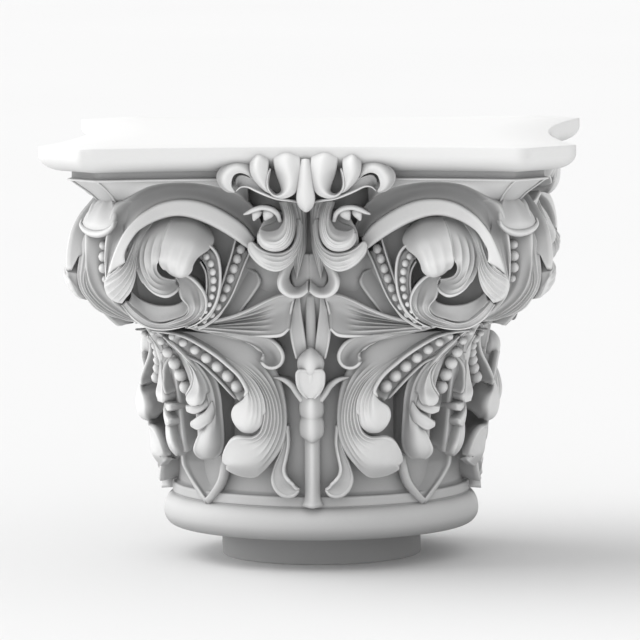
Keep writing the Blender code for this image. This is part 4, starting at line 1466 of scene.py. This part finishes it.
# Camera, as fitted to the photograph of 640 by 640 pixels, in metres, radians and millimetres of lens
CAMERA_PLACE = (0.2923, -5.2889, 0.7439)
CAMERA_TURN = (math.radians(84.414), 0.0, math.radians(3.163))
CAMERA_ROLL = math.radians(-0.4)
CAMERA_LENS = 309.1
CAMERA_SENSOR = 36.0
CAMERA_SEES = 200.0

# Lamps, in metres and radians, and the floor's paint
SUN_SPREAD = math.radians(60)
SUN_TILT = math.radians(56)
SUN_TURN = math.radians(-98)
PANEL_SIZE = (3.0, 0.6)
PANEL_PLACE = (-0.6, -2.2, 0.35)
PANEL_TILT = math.radians(85)
PANEL_TURN = math.radians(-15)
FLOOR_TONES = ((0.80, 0.80, 0.80, 1), (0.82, 0.82, 0.82, 1))
FLOOR_CLOUD = 0.6
FLOOR_ROUGHNESS = 0.9


def add_floor(half):
    """A square painted floor."""
    mesh = bpy.data.meshes.new("floor")
    corners = [(-half, -half, 0), (half, -half, 0), (half, half, 0), (-half, half, 0)]
    mesh.from_pydata(corners, [], [(0, 1, 2, 3)])
    paint = Shader("floor_paint")
    place = paint.node("TexCoord").outputs["Object"]
    cloud = paint.value(paint.node("TexNoise", Vector=place, Scale=FLOOR_CLOUD))
    paint.finish(Base_Color=paint.mix(cloud, *FLOOR_TONES), Roughness=FLOOR_ROUGHNESS)
    mesh.materials.append(paint.material)
    floor = add_object("floor", mesh)


def add_sky(strength):
    """A white sky that lights from all round."""
    world = bpy.data.worlds.new("studio")
    bpy.context.scene.world = world
    world.use_nodes = True
    sky = world.node_tree.nodes["Background"]
    sky.inputs["Color"].default_value = (1.0, 1.0, 1.0, 1.0)
    sky.inputs["Strength"].default_value = strength


def add_sun(strength):
    """A soft sun: tilted from straight overhead, and turned about the upright."""
    lamp = bpy.data.lights.new("key", "SUN")
    lamp.energy = strength
    lamp.angle = SUN_SPREAD
    add_object("key", lamp).rotation_euler = (SUN_TILT, 0.0, SUN_TURN)


def add_panel(power):
    """A soft rectangular lamp: tilted from straight down, and turned about the upright."""
    lamp = bpy.data.lights.new("fill", "AREA")
    lamp.shape = "RECTANGLE"
    lamp.size, lamp.size_y = PANEL_SIZE
    lamp.energy = power
    made = add_object("fill", lamp)
    made.location = PANEL_PLACE
    made.rotation_euler = (PANEL_TILT, 0.0, PANEL_TURN)


def add_camera():
    """The camera at the photograph's place, rolled about its own line of sight."""
    lens = bpy.data.cameras.new("camera")
    lens.lens = CAMERA_LENS
    lens.sensor_width = CAMERA_SENSOR
    lens.clip_end = CAMERA_SEES
    camera = add_object("camera", lens)
    camera.location = CAMERA_PLACE
    camera.rotation_mode = "XYZ"
    camera.rotation_euler = CAMERA_TURN
    camera.rotation_euler.rotate_axis("Z", CAMERA_ROLL)
    bpy.context.scene.camera = camera


class CAPITAL_OT_stage(bpy.types.Operator):
    """Sets the floor, the light and the camera."""

    bl_idname = "capital.stage"
    bl_label = "Stage"

    def execute(self, context):
        stage = context.scene.capital_stage
        add_floor(stage.floor)
        add_sky(stage.sky)
        add_sun(stage.key)
        add_panel(stage.fill)
        add_camera()
        context.scene.view_settings.view_transform = "Standard"
        return {"FINISHED"}


PIECES = (
    CAPITAL_OT_base,
    CAPITAL_OT_abacus,
    CAPITAL_OT_large_leaves,
    CAPITAL_OT_second_leaves,
    CAPITAL_OT_strands,
    CAPITAL_OT_fans,
    CAPITAL_OT_stems,
    CAPITAL_OT_centre_leaves,
    CAPITAL_OT_fleurons,
    CAPITAL_OT_roundels,
    CAPITAL_OT_roundel_leaves,
    CAPITAL_OT_roundel_beads,
    CAPITAL_OT_corners,
    CAPITAL_OT_stage,
)


class CAPITAL_PT_panel(bpy.types.Panel):
    """Lists the pieces and their settings."""

    bl_label = "Carved Capital"
    bl_idname = "CAPITAL_PT_panel"
    bl_space_type = "VIEW_3D"
    bl_region_type = "UI"
    bl_category = "Capital"

    def draw(self, context):
        scene = context.scene
        for settings in (scene.capital_carving, scene.capital_stone, scene.capital_stage):
            for name in settings.__annotations__:
                self.layout.prop(settings, name)
        for operator in PIECES:
            self.layout.operator(operator.bl_idname)


CLASSES = (CarvingSettings, StoneSettings, StageSettings, *PIECES, CAPITAL_PT_panel)


def register():
    """Registers the classes and puts their settings on the scene."""
    for made in CLASSES:
        bpy.utils.register_class(made)
    bpy.types.Scene.capital_carving = PointerProperty(type=CarvingSettings)
    bpy.types.Scene.capital_stone = PointerProperty(type=StoneSettings)
    bpy.types.Scene.capital_stage = PointerProperty(type=StageSettings)


def unregister():
    """Takes the settings off the scene and unregisters the classes."""
    del bpy.types.Scene.capital_carving
    del bpy.types.Scene.capital_stone
    del bpy.types.Scene.capital_stage
    for made in reversed(CLASSES):
        bpy.utils.unregister_class(made)


def main():
    """Registers the classes, then builds the pieces and the stage in order."""
    register()
    for operator in PIECES:
        group, name = operator.bl_idname.split(".")
        getattr(getattr(bpy.ops, group), name)()


if __name__ == "__main__":
    main()
